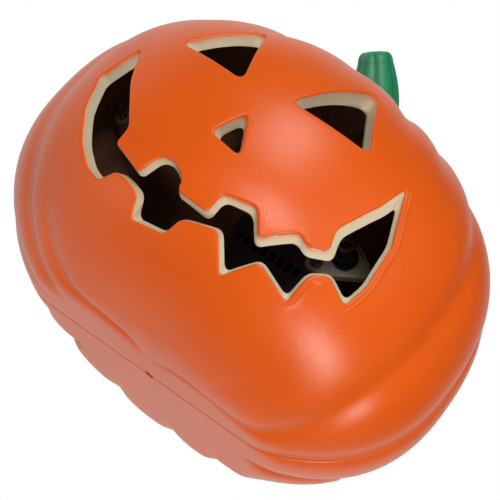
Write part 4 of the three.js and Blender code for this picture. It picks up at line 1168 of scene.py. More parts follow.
@dataclass(frozen=True)
class ShellPaint(Finish):
    """Orange paint sprayed over cream plastic, thin on the lips and absent inside, where a dark brown stands
    in as painted shade.
    """

    name: str = "sprayed_orange_shell"
    orange: Colour = (0.66, 0.086, 0.001)
    deep_orange: Colour = (0.58, 0.062, 0.001)
    pale_orange: Colour = (0.71, 0.112, 0.003)
    overspray: Colour = (0.64, 0.28, 0.18)
    cream: Colour = (0.56, 0.47, 0.30)
    pale_cream: Colour = (0.66, 0.57, 0.40)
    # Painted shade: the dark brown of the dim inside and of the deep ends of the rims.
    inside: Colour = (0.34, 0.15, 0.085)
    dust: Colour = (0.55, 0.42, 0.30)
    mottle: Triple = (14.0, 300.0, 0.25)
    grain: Triple = (1900.0, 80.0, 0.6)
    relief: Pair = (0.32, 0.3 * MM)
    roughness: Pair = (0.27, 0.33)
    bare_roughness: float = 0.52
    specular: float = 0.38
    pale_share: float = 0.5
    pooled_share: float = 0.35
    mist: Pair = (-0.09, 0.09)
    shade_facing: Pair = (-0.75, 0.05)
    shade_share: float = 0.34
    thin_coat: Pair = (0.02, 0.2)
    covered: Pair = (0.52, 0.9)
    tinted: Pair = (0.12, 0.62)
    tint_share: float = 0.42
    dust_amount: float = 0.10
    dust_roughness: float = 0.8
    scuff_amount: float = 0.35
    scuff_roughness: float = 0.25

    def inputs(self, tree: Tree, effects: Effects, mottle: Socket) -> dict:
        """Returns the shader's inputs by name."""
        place, paint = tree.place(), tree.layer("paint")
        coat = tree.blend(tree.maths("MULTIPLY", mottle, self.pale_share), self.orange, self.pale_orange)
        pooled = tree.span(tree.noise(place, 9.0, 2.0, 0.5), 0.35, 0.7, 0.0, self.pooled_share)
        coat = tree.blend(pooled, coat, self.deep_orange)
        mist = tree.span(tree.noise(place, 700.0, 3.0, 0.7), 0.3, 0.7, *self.mist)
        # Painted shade: lip walls that face down get more of the orange tint, so they come out darker.
        under = tree.span(tree.upward(), *self.shade_facing, self.shade_share, 0.0)
        under = tree.maths("MULTIPLY", under, tree.span(paint, *self.thin_coat))
        edge = tree.maths("ADD", tree.maths("ADD", paint, mist), under)
        covered = tree.span(edge, *self.covered)
        tinted = tree.span(edge, *self.tinted, 0.0, self.tint_share)
        colour = tree.blend(tinted, tree.blend(mottle, self.cream, self.pale_cream), self.overspray)
        colour = tree.blend(covered, colour, coat)
        # Painted shade: where the dark layer is set, the colour goes to the dark brown of the inside.
        colour = tree.blend(tree.layer("dark"), colour, self.inside)
        dust = use_group(tree, effects.dust, self.dust_amount)
        scuffs = use_group(tree, effects.scuffs, self.scuff_amount)
        rubbed = tree.maths("MULTIPLY", scuffs, self.scuff_roughness)
        gloss = tree.maths("ADD", tree.span(mottle, 0.0, 1.0, *self.roughness), rubbed)
        gloss = tree.maths("ADD", gloss, tree.maths("MULTIPLY", dust, self.dust_roughness))
        return {"Base Color": tree.blend(dust, colour, self.dust),
                "Roughness": tree.mix(covered, self.bare_roughness, gloss),
                "Specular IOR Level": self.specular,
                "Normal": self.bumps(tree, self.grained(tree, effects))}


@dataclass(frozen=True)
class MouldedPlastic(Finish):
    """Plastic that is coloured all through, with the fine grain of its mould."""

    name: str
    colour: Colour
    light: Colour
    roughness: float
    relief: Pair = (0.12, 0.25 * MM)
    mottle: Triple = (40.0, 500.0, 0.4)
    grain: Triple = (1100.0, 90.0, 0.3)
    smoother: float = 0.05
    rougher: float = 0.07
    dust: Colour = (0.42, 0.38, 0.34)
    dust_amount: float = 0.12
    dust_roughness: float = 0.5
    scuff_amount: float = 0.5
    scuff_share: float = 0.25

    def inputs(self, tree: Tree, effects: Effects, mottle: Socket) -> dict:
        """Returns the shader's inputs by name."""
        dust = use_group(tree, effects.dust, self.dust_amount)
        scuffs = use_group(tree, effects.scuffs, self.scuff_amount)
        colour = tree.blend(mottle, self.colour, self.light)
        colour = tree.blend(tree.maths("MULTIPLY", scuffs, self.scuff_share), colour, self.dust)
        spread = tree.span(mottle, 0.0, 1.0, self.roughness - self.smoother, self.roughness + self.rougher)
        dusty = tree.maths("MULTIPLY", dust, self.dust_roughness)
        return {"Base Color": tree.blend(dust, colour, self.dust),
                "Roughness": tree.maths("ADD", spread, dusty),
                "Normal": self.bumps(tree, self.grained(tree, effects))}


@dataclass(frozen=True)
class StemPaint(Finish):
    """Green paint on the moulded stem, with painted shade that darkens its grooves."""

    name: str = "painted_green_stem"
    green: Colour = (0.008, 0.21, 0.088)
    light_green: Colour = (0.02, 0.29, 0.135)
    shaded_green: Colour = (0.006, 0.14, 0.05)
    mottle: Triple = (45.0, 420.0, 0.35)
    grain: Triple = (900.0, 120.0, 0.5)
    relief: Pair = (0.18, 0.4 * MM)
    roughness: Pair = (0.36, 0.48)
    groove_shade: Pair = (0.4, 0.9)

    def inputs(self, tree: Tree, effects: Effects, mottle: Socket) -> dict:
        """Returns the shader's inputs by name."""
        place = tree.place()
        # Painted shade: the grooves are darkened towards a deeper green.
        painted_groove_shade = tree.span(tree.noise(place, 80.0, 3.0), 0.3, 0.7, *self.groove_shade)
        painted_groove_shade = tree.maths("MULTIPLY", tree.layer("groove"), painted_groove_shade)
        colour = tree.blend(painted_groove_shade, tree.blend(mottle, self.green, self.light_green), self.shaded_green)
        streaks = tree.noise(tree.stretched(place, (1.0, 1.0, 0.15)), 380.0, 4.0, 0.6)
        return {"Base Color": colour, "Roughness": tree.span(mottle, 0.0, 1.0, *self.roughness),
                "Normal": self.bumps(tree, tree.maths("ADD", self.grained(tree, effects), streaks))}


@dataclass(frozen=True)
class PlatedMetal(Finish):
    """Plated sheet or wire with fine rubs."""

    name: str
    colour: Colour
    dull: Colour
    roughness: float = 0.3
    smoother: float = 0.08
    rougher: float = 0.14
    mottle: Triple = (120.0, 900.0, 0.5)
    relief: Pair = (0.06, 0.1 * MM)
    rub_scale: float = 1600.0

    def inputs(self, tree: Tree, effects: Effects, mottle: Socket) -> dict:
        """Returns the shader's inputs by name."""
        rubs = tree.noise(tree.stretched(tree.place(), (1.0, 1.0, 0.1)), self.rub_scale, 3.0, 0.6)
        spread = tree.span(rubs, 0.3, 0.7, self.roughness - self.smoother, self.roughness + self.rougher)
        return {"Base Color": tree.blend(mottle, self.colour, self.dull), "Metallic": 1.0,
                "Roughness": spread, "Normal": self.bumps(tree, rubs)}


@dataclass(frozen=True)
class LampGlass(Finish):
    """Thin clear glass of the bulb with a warm tint and a little haze."""

    name: str = "clear_bulb_glass"
    tint: Colour = (0.98, 0.90, 0.76)
    haze: Colour = (0.86, 0.80, 0.70)
    mottle: Triple = (150.0, 1400.0, 0.5)
    roughness: Pair = (0.02, 0.12)
    bending: float = 1.47

    def inputs(self, tree: Tree, effects: Effects, mottle: Socket) -> dict:
        """Returns the shader's inputs by name."""
        return {"Base Color": tree.blend(mottle, self.tint, self.haze),
                "Roughness": tree.span(mottle, 0.0, 1.0, *self.roughness),
                "Transmission Weight": 1.0, "IOR": self.bending}


@dataclass(frozen=True)
class CircuitMask(Finish):
    """Green solder mask over copper tracks."""

    name: str = "circuit_board_mask"
    mask: Colour = (0.012, 0.13, 0.045)
    track: Colour = (0.03, 0.24, 0.085)
    mottle: Triple = (90.0, 900.0, 0.4)
    relief: Pair = (0.3, 0.05 * MM)
    roughness: Pair = (0.22, 0.36)

    def inputs(self, tree: Tree, effects: Effects, mottle: Socket) -> dict:
        """Returns the shader's inputs by name."""
        flat = tree.stretched(tree.place(), (1.0, 1.0, 1.0), (math.pi / 2, 0.0, 0.0))
        tracks = tree.node("ShaderNodeTexBrick", {
            "Vector": flat, "Scale": 60.0, "Mortar Size": 0.09, "Brick Width": 0.9, "Row Height": 0.3,
        }).outputs["Fac"]
        colour = tree.blend(tracks, self.mask, self.track)
        colour = tree.blend(tree.maths("MULTIPLY", mottle, 0.3), colour, self.mask)
        return {"Base Color": colour, "Roughness": tree.span(mottle, 0.0, 1.0, *self.roughness),
                "Normal": self.bumps(tree, tracks)}


@dataclass(frozen=True)
class CellWrap(Finish):
    """A cell's wrap, dark with a pale band at the button, and its plated ends."""

    name: str = "cell_sleeve"
    dark: Colour = (0.022, 0.024, 0.028)
    pale: Colour = (0.55, 0.33, 0.13)
    metal: Colour = (0.66, 0.65, 0.62)
    band: Pair = (0.3, 0.304)
    mottle: Triple = (90.0, 900.0, 0.5)
    grain: Triple = (1500.0, 150.0, 0.4)
    relief: Pair = (0.05, 0.1 * MM)
    roughness: Pair = (0.22, 0.34)

    def inputs(self, tree: Tree, effects: Effects, mottle: Socket) -> dict:
        """Returns the shader's inputs by name."""
        bare = tree.layer("metal")
        sleeve = tree.blend(tree.span(tree.layer("band"), *self.band), self.pale, self.dark)
        sleeve = tree.blend(tree.maths("MULTIPLY", mottle, 0.2), sleeve, self.dark)
        return {"Base Color": tree.blend(bare, sleeve, self.metal), "Metallic": bare,
                "Roughness": tree.span(mottle, 0.0, 1.0, *self.roughness),
                "Normal": self.bumps(tree, self.grained(tree, effects))}


def merged_copy(node: bpy.types.Object, flat: float) -> Mesh:
    """Returns a CAD node's mesh with its triangles joined into flat faces.

    Args:
        node: The CAD node.
        flat: The largest angle in degrees between triangles that become one face.

    Returns:
        The mesh.
    """
    mesh = bmesh.new()
    mesh.from_mesh(node.data)
    bmesh.ops.remove_doubles(mesh, verts=mesh.verts, dist=0.004 * MM)
    bmesh.ops.dissolve_limit(mesh, angle_limit=math.radians(flat), verts=mesh.verts, edges=mesh.edges)
    return mesh


def sharp_edges(mesh: Mesh, angle: float) -> list[bmesh.types.BMEdge]:
    """Returns the edges whose faces meet at more than an angle in degrees."""
    limit = math.radians(angle)
    return [edge for edge in mesh.edges if edge.is_manifold and abs(edge.calc_face_angle_signed(0.0)) > limit]


def finished(name: str, mesh: Mesh, angle: float = 35.0) -> bpy.types.Object:
    """Makes a smooth-shaded object of a mesh, with hard edges above an angle in degrees."""
    data = bpy.data.meshes.new(name)
    mesh.to_mesh(data)
    mesh.free()
    data.shade_smooth()
    data.set_sharp_from_angle(angle=math.radians(angle))
    return linked(name, data)


@dataclass
class Dresser:
    """Puts pieces on the frame: their body, their finish and the nodes they stand for."""

    frame: object
    flat: float = 1.0
    rolled_from: float = 40.0
    roll_faces: int = 3

    def place(self, piece: bpy.types.Object, body: str, slot: str, material: bpy.types.Material,
              nodes: Sequence[str] = ()) -> None:
        """Finishes a piece and logs it.

        Args:
            piece: The piece.
            body: The body that it moves with.
            slot: The record's material slot; not used.
            material: Its finish.
            nodes: The CAD nodes that it stands for.
        """
        piece.data.materials.clear()
        piece.data.materials.append(material)
        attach(piece, body)
        if nodes:
            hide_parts(*nodes)
        log.info("%s rides on %s with the finish %s", piece.name, body, material.name)

    def node(self, name: str, slot: str, material: bpy.types.Material) -> None:
        """Gives a shown CAD node its finish."""
        shown = self.frame["nodes"][name]
        shown.data.materials.clear()
        shown.data.materials.append(material)
        log.info("%s keeps its CAD shape with the finish %s", name, material.name)

    def rounded(self, name: str, body: str, slot: str, material: bpy.types.Material, width: float) -> None:
        """Replaces a CAD node by a copy with rolled edges.

        Args:
            name: The node.
            body: The body that it moves with.
            slot: Its material slot.
            material: Its finish.
            width: How wide the rolled edges are.
        """
        mesh = merged_copy(self.frame["nodes"][name], self.flat)
        edges = sharp_edges(mesh, self.rolled_from)
        bmesh.ops.bevel(mesh, geom=edges, offset=width, offset_type="OFFSET", segments=self.roll_faces,
                        profile=0.5, affect="EDGES", clamp_overlap=True, material=-1)
        self.place(finished(name + "_dressed", mesh), body, slot, material, [name])


def revolve(mesh: Mesh, rings: Sequence[Pair], frame: Matrix, count: int) -> list[Row]:
    """Adds a surface of revolution.

    Args:
        mesh: The mesh that the surface is added to.
        rings: The height along the axis and the radius of each ring.
        frame: Where the axis starts and where it points, as its local Z.
        count: How many points each ring has.

    Returns:
        The rings' vertices. A ring of no radius has a single vertex.
    """
    rows = []
    for height, radius in rings:
        if radius == 0.0:
            rows.append([mesh.verts.new(frame @ Vector((0, 0, height)))])
            continue
        turns = [2 * math.pi * i / count for i in range(count)]
        spots = [Vector((radius * math.cos(turn), radius * math.sin(turn), height)) for turn in turns]
        rows.append([mesh.verts.new(frame @ spot) for spot in spots])
    for low, high in zip(rows, rows[1:]):
        join_rows(mesh, low, high)
    return rows


@dataclass
class Turned:
    """A CAD node that is round about an axis, with its ends measured."""

    node: bpy.types.Object
    axis: int
    end_share: float = 0.02

    def __post_init__(self) -> None:
        """Measures the node."""
        self.points = np.array([vert.co[:] for vert in self.node.data.vertices])
        self.low, self.high = self.points[:, self.axis].min(), self.points[:, self.axis].max()
        self.middle = (self.points.min(axis=0) + self.points.max(axis=0)) / 2
        across = np.delete(self.points - self.middle, self.axis, axis=1)
        self.reach = np.linalg.norm(across, axis=1)

    @property
    def radius(self) -> float:
        """The node's largest radius."""
        return float(self.reach.max())

    @property
    def length(self) -> float:
        """The node's length along the axis."""
        return float(self.high - self.low)

    def end_radius(self, high: bool) -> float:
        """Returns the node's radius at one of its ends."""
        slack = self.end_share * self.length
        along = self.points[:, self.axis]
        there = along > self.high - slack if high else along < self.low + slack
        return float(self.reach[there].max())

    def from_end(self, high: bool) -> np.ndarray:
        """Returns each point's distance from one of the ends."""
        along = self.points[:, self.axis]
        return self.high - along if high else along - self.low

    def head(self, high: bool) -> float:
        """Returns how far the widest part reaches from the end that it is at."""
        return float(self.from_end(high)[self.reach > 0.9 * self.radius].max())

    def shank_radius(self, high: bool) -> float:
        """Returns the radius beyond the widest part."""
        beyond = self.from_end(high) > 1.05 * self.head(high)
        return float(self.reach[beyond].max()) if beyond.any() else 0.5 * self.radius

    def frame(self, from_high: bool) -> Matrix:
        """Returns a frame at one end whose Z axis points to the other end."""
        origin = self.middle.copy()
        origin[self.axis] = self.high if from_high else self.low
        along = Vector((0, 0, 0))
        along[self.axis] = -1.0 if from_high else 1.0
        turn = along.to_track_quat("Z", "Y").to_matrix().to_4x4()
        return Matrix.Translation(Vector(origin)) @ turn


@dataclass
class CrossScrew:
    """A pan-head screw with a cross recess and a ribbed shank."""

    shape: Turned
    count: int = 48
    arm: float = 0.62
    arm_width: float = 0.13
    recess: float = 0.55
    pitch: float = 1.0 * MM
    thread: float = 0.16
    dome: float = 0.45
    dome_taper: float = 0.24
    dome_steps: int = 6
    recess_taper: float = 0.78
    inset: float = 0.03 * MM

    def build(self, name: str) -> bpy.types.Object:
        """Builds the screw.

        Args:
            name: The new object's name.

        Returns:
            The screw's object.
        """
        shape = self.shape
        head_high = shape.end_radius(True) > shape.end_radius(False)
        frame = shape.frame(head_high)
        head, radius = shape.head(head_high), shape.radius - self.inset
        shank = min(shape.shank_radius(head_high) - self.inset, 0.6 * radius)
        mesh = bmesh.new()
        root = shank * (1 - self.thread)
        rings = [(self.inset + self.dome * head * low, radius * (1 - self.dome_taper * narrow))
                 for low, narrow in quarter_round(self.dome_steps)]
        rings = rings[::-1] + [(head, radius), (head, shank)]
        height = head
        while height + self.pitch < shape.length - shank:
            rings += [(height + 0.25 * self.pitch, root), (height + 0.6 * self.pitch, shank),
                      (height + 0.75 * self.pitch, shank)]
            height += self.pitch
        rings += [(shape.length - shank, root), (shape.length - self.inset, 0.0)]
        rows = revolve(mesh, rings, frame, self.count)
        self.cut_cross(mesh, rows[0], frame, radius, head)
        bmesh.ops.recalc_face_normals(mesh, faces=mesh.faces)
        return finished(name, mesh, 40.0)

    def cut_cross(self, mesh: Mesh, rim: Row, frame: Matrix, radius: float, head: float) -> None:
        """Closes the head with a flat face round a tapered cross recess."""
        long, wide = self.arm * radius, self.arm_width * radius
        corner = [(long, -wide), (long, wide), (wide, wide)]
        outline = [(x * math.cos(turn) - y * math.sin(turn), x * math.sin(turn) + y * math.cos(turn))
                   for turn in (0, math.pi / 2, math.pi, 3 * math.pi / 2) for x, y in corner]
        loops = []
        for depth, scale in ((self.inset, 1.0), (self.recess * head, self.recess_taper)):
            loops.append([mesh.verts.new(frame @ Vector((x * scale, y * scale, depth))) for x, y in outline])
        join_rows(mesh, *loops)
        mesh.faces.new(loops[1])
        edges = [mesh.edges.get((loop[i - 1], loop[i])) for loop in (rim, loops[0]) for i in range(len(loop))]
        bmesh.ops.triangle_fill(mesh, edges=edges, use_beauty=True, use_dissolve=False)


@dataclass
class Cell:
    """A round cell: wrapped body, plated ends and a button at one end."""

    shape: Turned
    count: int = 64
    button: float = 2.7 * MM
    button_height: float = 1.1 * MM
    shoulder: float = 0.9 * MM
    shoulder_steps: int = 5
    wrap_lip: float = 5.4 * MM
    wrap: float = 0.1 * MM
    base_sunk: float = 0.2 * MM
    inset: float = 0.05 * MM

    def build(self, name: str) -> bpy.types.Object:
        """Builds the cell, with its bare metal and the share of its length as point layers.

        Args:
            name: The new object's name.

        Returns:
            The cell's object.
        """
        shape = self.shape
        frame = shape.frame(shape.end_radius(True) < shape.end_radius(False))
        radius, length = shape.radius - self.inset, shape.length - self.inset
        top = self.button_height + self.inset
        rings = [(self.inset, 0.0), (self.inset, 0.8 * self.button), (1.4 * self.inset, 0.93 * self.button),
                 (4 * self.inset, self.button), (top, self.button), (top, self.wrap_lip)]
        bare = len(rings)
        corner = [(self.shoulder * along, self.shoulder * short)
                  for short, along in quarter_round(self.shoulder_steps)]
        rings += [(top - self.wrap, self.wrap_lip + self.wrap)]
        rings += [(top + along, radius - short) for along, short in corner]
        rings += [(length - along, radius - short) for along, short in corner[::-1]]
        wrapped = len(rings)
        rings += [(length - self.base_sunk, radius - 1.2 * self.shoulder), (length - self.base_sunk, 0.0)]
        mesh = bmesh.new()
        metal = mesh.verts.layers.float.new("metal")
        band = mesh.verts.layers.float.new("band")
        rows = revolve(mesh, rings, frame, self.count)
        for number, row in enumerate(rows):
            for vert in row:
                vert[metal] = 0.0 if bare <= number < wrapped else 1.0
                vert[band] = rings[number][0] / length
        bmesh.ops.recalc_face_normals(mesh, faces=mesh.faces)
        return finished(name, mesh, 40.0)


@dataclass
class Bulb:
    """A small glass bulb with its filament on two wires."""

    shape: Turned
    count: int = 48
    glass: float = 0.55 * MM
    neck: float = 0.55
    wire: float = 0.16 * MM
    coil: float = 0.42 * MM
    coil_turns: int = 9
    coil_points: int = 16
    wire_points: int = 8
    spread: float = 0.36
    height: float = 0.56
    foot: float = 0.4 * MM
    glass_steps: int = 22
    neck_from: float = 0.2 * MM
    neck_share: float = 0.22
    inset: float = 0.05 * MM

    def envelope(self) -> list[Pair]:
        """Returns the outline of the glass from the neck to the tip."""
        length, radius = self.shape.length, self.shape.radius - self.inset
        rings = [(self.neck_from, self.neck * radius), (self.neck_share * length, self.neck * radius)]
        centre = length - radius
        start = math.asin(self.neck)
        for step in range(self.glass_steps + 1):
            angle = start + (math.pi - start) * step / self.glass_steps
            height = centre - radius * math.cos(angle) - self.inset
            if height > rings[-1][0]:
                rings.append((height, radius * math.sin(angle)))
        rings[-1] = (rings[-1][0], 0.0)
        return rings

    def build_glass(self, name: str) -> bpy.types.Object:
        """Builds the hollow glass.

        Args:
            name: The new object's name.

        Returns:
            The glass object.
        """
        outer = self.envelope()
        inner = [(height - (self.glass if radius < self.glass else 0.0), max(radius - self.glass, 0.0))
                 for height, radius in outer if radius > self.glass or radius == 0.0]
        mesh = bmesh.new()
        revolve(mesh, inner[::-1] + outer, self.shape.frame(True), self.count)
        bmesh.ops.recalc_face_normals(mesh, faces=mesh.faces)
        return finished(name, mesh, 50.0)

    def build_filament(self, name: str) -> bpy.types.Object:
        """Builds the two support wires and the coil between them.

        Args:
            name: The new object's name.

        Returns:
            The filament's object.
        """
        reach, tip = self.spread * self.shape.radius, self.height * self.shape.length
        mesh = bmesh.new()
        frame = self.shape.frame(True)
        post = [(0.5 * reach, 0, self.foot), (0.6 * reach, 0, 0.3 * tip), (reach, 0, tip)]
        path = [(-x, y, z) for x, y, z in post]
        steps = self.coil_points * self.coil_turns
        for step in range(1, steps):
            share, turn = step / steps, 2 * math.pi * step / self.coil_points
            path.append((-reach + 2 * reach * share, self.coil * math.sin(turn),
                         tip + self.coil * (1 - math.cos(turn))))
        line = [frame @ Vector(point) for point in path + post[::-1]]
        sweep(mesh, line, self.wire / 2, self.wire_points)
        bmesh.ops.recalc_face_normals(mesh, faces=mesh.faces)
        return finished(name, mesh, 60.0)


def sweep(mesh: Mesh, path: Sequence[Vector], radius: float, count: int) -> None:
    """Adds a closed round wire along a path.

    Args:
        mesh: The mesh that the wire is added to.
        path: The points of its middle line.
        radius: Its radius.
        count: How many points each ring has.
    """
    last = len(path) - 1
    lines = [(path[min(i + 1, last)] - path[max(i - 1, 0)]).normalized() for i in range(last + 1)]
    side = lines[0].orthogonal().normalized()
    rows = []
    for point, line in zip(path, lines):
        side = (side - line * side.dot(line)).normalized()
        other = line.cross(side)
        rows.append([mesh.verts.new(point + (side * math.cos(turn) + other * math.sin(turn)) * radius)
                     for turn in (2 * math.pi * i / count for i in range(count))])
    for low, high in zip(rows, rows[1:]):
        join_rows(mesh, low, high)
    mesh.faces.new(rows[0][::-1])
    mesh.faces.new(rows[-1])


@dataclass
class Stem:
    """The stub of stem: ribbed, bent and tapered, with a cut end, on a neck and a flange."""

    foot: Vector
    foot_radius: float = 17.4 * MM
    foot_rise: float = 5 * MM
    tip_radius: float = 8.6 * MM
    fullness: float = 1.6
    rise: float = 42.6 * MM
    lean_left: float = 8 * MM
    lean_front: float = 15 * MM
    bend_right: float = 5.5 * MM
    bend_back: float = 3.75 * MM
    bend_rise: float = 0.62
    ribs: int = 6
    rib_depth: float = 0.055
    twist: float = 0.35
    tip_taper: float = 0.38
    tip_rise: float = 5.4 * MM
    tip_steps: int = 7
    tip_hollow: tuple = ((0.1 * MM, 0.56), (0.55 * MM, 0.48), (0.75 * MM, 0.28))
    rib_fullness: float = 0.75
    groove_power: float = 1.5
    level_share: float = 1 / 3
    neck_radius: float = 8 * MM
    flange_radius: float = 11 * MM
    flange_height: float = 3 * MM
    flange_top: float = -2.9 * MM
    core_radius: float = 2 * MM
    rings: int = 60
    points_per_rib: int = 24
    inset: float = 0.08 * MM

    def centre(self, share: float) -> Vector:
        """Returns the middle of the stem at a share of its length."""
        start = self.foot + Vector((0, 0, self.foot_rise))
        bend = self.foot + Vector((self.bend_right, self.bend_back, self.rise * self.bend_rise))
        tip = self.foot + Vector((-self.lean_left, -self.lean_front, self.rise))
        return start * (1 - share) ** 2 + bend * 2 * share * (1 - share) + tip * share ** 2

    def radius(self, share: float) -> float:
        """Returns the stem's mean radius at a share of its length."""
        wider = (self.foot_radius - self.tip_radius) * (1 - share ** self.fullness)
        return self.tip_radius + wider - self.inset

    def ring(self, share: float, lift: float, scale: float) -> tuple[list[Vector], list[float]]:
        """Returns the points of one ring and how deep each lies in a groove."""
        step = 0.01
        along = (self.centre(min(1.0, share + step)) - self.centre(min(1.0 - step, share))).normalized()
        centre = self.centre(share) + along * lift
        level = Vector((0, 0, 1)).lerp(along, min(1.0, share / self.level_share)).normalized()
        right = (Vector((1, 0, 0)) - level * level.x).normalized()
        ahead = level.cross(right)
        count = self.ribs * self.points_per_rib
        points, grooves = [], []
        for i in range(count):
            turn = 2 * math.pi * i / count
            wave = math.cos(self.ribs * turn)
            ridge = 1 - (1 - (0.5 + 0.5 * wave) ** self.rib_fullness) * 2
            radius = self.radius(share) * (1 + self.rib_depth * ridge) * scale
            twisted = turn + share * self.twist
            points.append(centre + right * math.cos(twisted) * radius + ahead * math.sin(twisted) * radius)
            grooves.append(max(0.0, -ridge) ** self.groove_power)
        return points, grooves

    def profile(self) -> list[tuple[float, float, float]]:
        """Returns the rings as share of the length, lift along the stem and scale."""
        body = [(i / self.rings, 0.0, 1.0) for i in range(self.rings + 1)]
        tip = [(1.0, self.tip_rise * (1 - left), 1 - self.tip_taper * narrow)
               for left, narrow in quarter_round(self.tip_steps)[1:]]
        return body + tip + [(1.0, self.tip_rise - sunk, scale) for sunk, scale in self.tip_hollow]

    def build(self) -> bpy.types.Object:
        """Builds the stem as one closed mesh.

        Returns:
            The stem's object.
        """
        mesh = bmesh.new()
        groove = mesh.verts.layers.float.new("groove")
        rows = []
        for place in self.profile():
            points, depths = self.ring(*place)
            rows.append([mesh.verts.new(point) for point in points])
            for vert, depth in zip(rows[-1], depths):
                vert[groove] = depth
        tip = sum((vert.co for vert in rows[-1]), Vector()) / len(rows[-1])
        rows.append([mesh.verts.new(tip)])
        for low, high in zip(rows, rows[1:]):
            join_rows(mesh, low, high)
        self.add_neck(mesh, rows[0])
        bmesh.ops.recalc_face_normals(mesh, faces=mesh.faces)
        log.info("stem: %d faces", len(mesh.faces))
        return finished("stem_dressed", mesh, 60.0)

    def add_neck(self, mesh: Mesh, row: Row) -> None:
        """Adds the underside, the neck and the flange below the stem's first ring."""
        underside = self.flange_top - self.flange_height
        rings = [(self.foot_rise, self.neck_radius), (self.flange_top, self.neck_radius),
                 (self.flange_top, self.flange_radius), (underside, self.flange_radius),
                 (underside, self.core_radius)]
        rows = revolve(mesh, rings, Matrix.Translation(self.foot), len(row))
        join_rows(mesh, row, rows[0])
        mesh.faces.new(rows[-1])


@dataclass
class Finishes:
    """Every finish of the lamp, made once."""

    effects: Effects

    def build(self) -> dict[str, bpy.types.Material]:
        """Makes the materials.

        Returns:
            The materials by their short names.
        """
        plastic = MouldedPlastic
        glossy = (0.04, 0.25 * MM)
        finishes = {
            "shell": ShellPaint(),
            "door": plastic("orange_door_plastic", (0.74, 0.080, 0.002), (0.78, 0.105, 0.006), 0.36),
            "stem": StemPaint(),
            "unit": plastic("dark_unit_plastic", (0.10, 0.068, 0.060), (0.125, 0.088, 0.078), 0.42),
            # Painted light: the bracket's cream is lighter than the shell's bare cream plastic, to lift it in
            # the dim inside.
            "bracket": plastic("lightened_cream_bracket_plastic", (0.80, 0.70, 0.52), (0.86, 0.78, 0.60), 0.4),
            "holder": plastic("black_holder_plastic", (0.012, 0.011, 0.011), (0.02, 0.019, 0.018), 0.22,
                              glossy),
            "switch": plastic("black_switch_plastic", (0.016, 0.015, 0.015), (0.026, 0.025, 0.024), 0.42),
            "component": plastic("black_component_resin", (0.014, 0.014, 0.015), (0.024, 0.024, 0.025), 0.35),
            "cell": CellWrap(),
            "wire_red": plastic("red_wire_jacket", (0.42, 0.018, 0.012), (0.52, 0.03, 0.02), 0.38, glossy),
            "wire_black": plastic("black_wire_jacket", (0.014, 0.013, 0.013), (0.022, 0.021, 0.02), 0.36,
                                  glossy),
            "steel": PlatedMetal("plated_screw_steel", (0.62, 0.61, 0.58), (0.46, 0.45, 0.43)),
            "contact": PlatedMetal("plated_contact_steel", (0.70, 0.69, 0.66), (0.52, 0.50, 0.47), 0.24),
            "brass": PlatedMetal("aged_brass_base", (0.42, 0.30, 0.14), (0.26, 0.18, 0.09)),
            "filament": PlatedMetal("filament_wire", (0.50, 0.49, 0.47), (0.36, 0.35, 0.33)),
            "glass": LampGlass(),
            "board": CircuitMask(),
        }
        return {key: finish.material(self.effects) for key, finish in finishes.items()}


@dataclass(frozen=True)
class Lamp:
    """A soft round lamp that faces the pumpkin, placed along the image's right, up and back."""

    name: str
    right: float
    up: float
    back: float
    size: float
    power: float


LAMPS = (
    Lamp("key_lamp", 0.336, 0.9, 0.72, 0.24, 4.2),
    Lamp("low_lamp", 0.18, -0.996, 0.636, 0.3, 6.6),
    Lamp("fill_lamp", 1.2, 0.08, 1.12, 1.0, 3.2),
    Lamp("side_lamp", -1.44, 0.0, 0.64, 0.8, 2.0),
    Lamp("lens_lamp", 0.13, 0.26, 1.3, 0.22, 6.6),
)


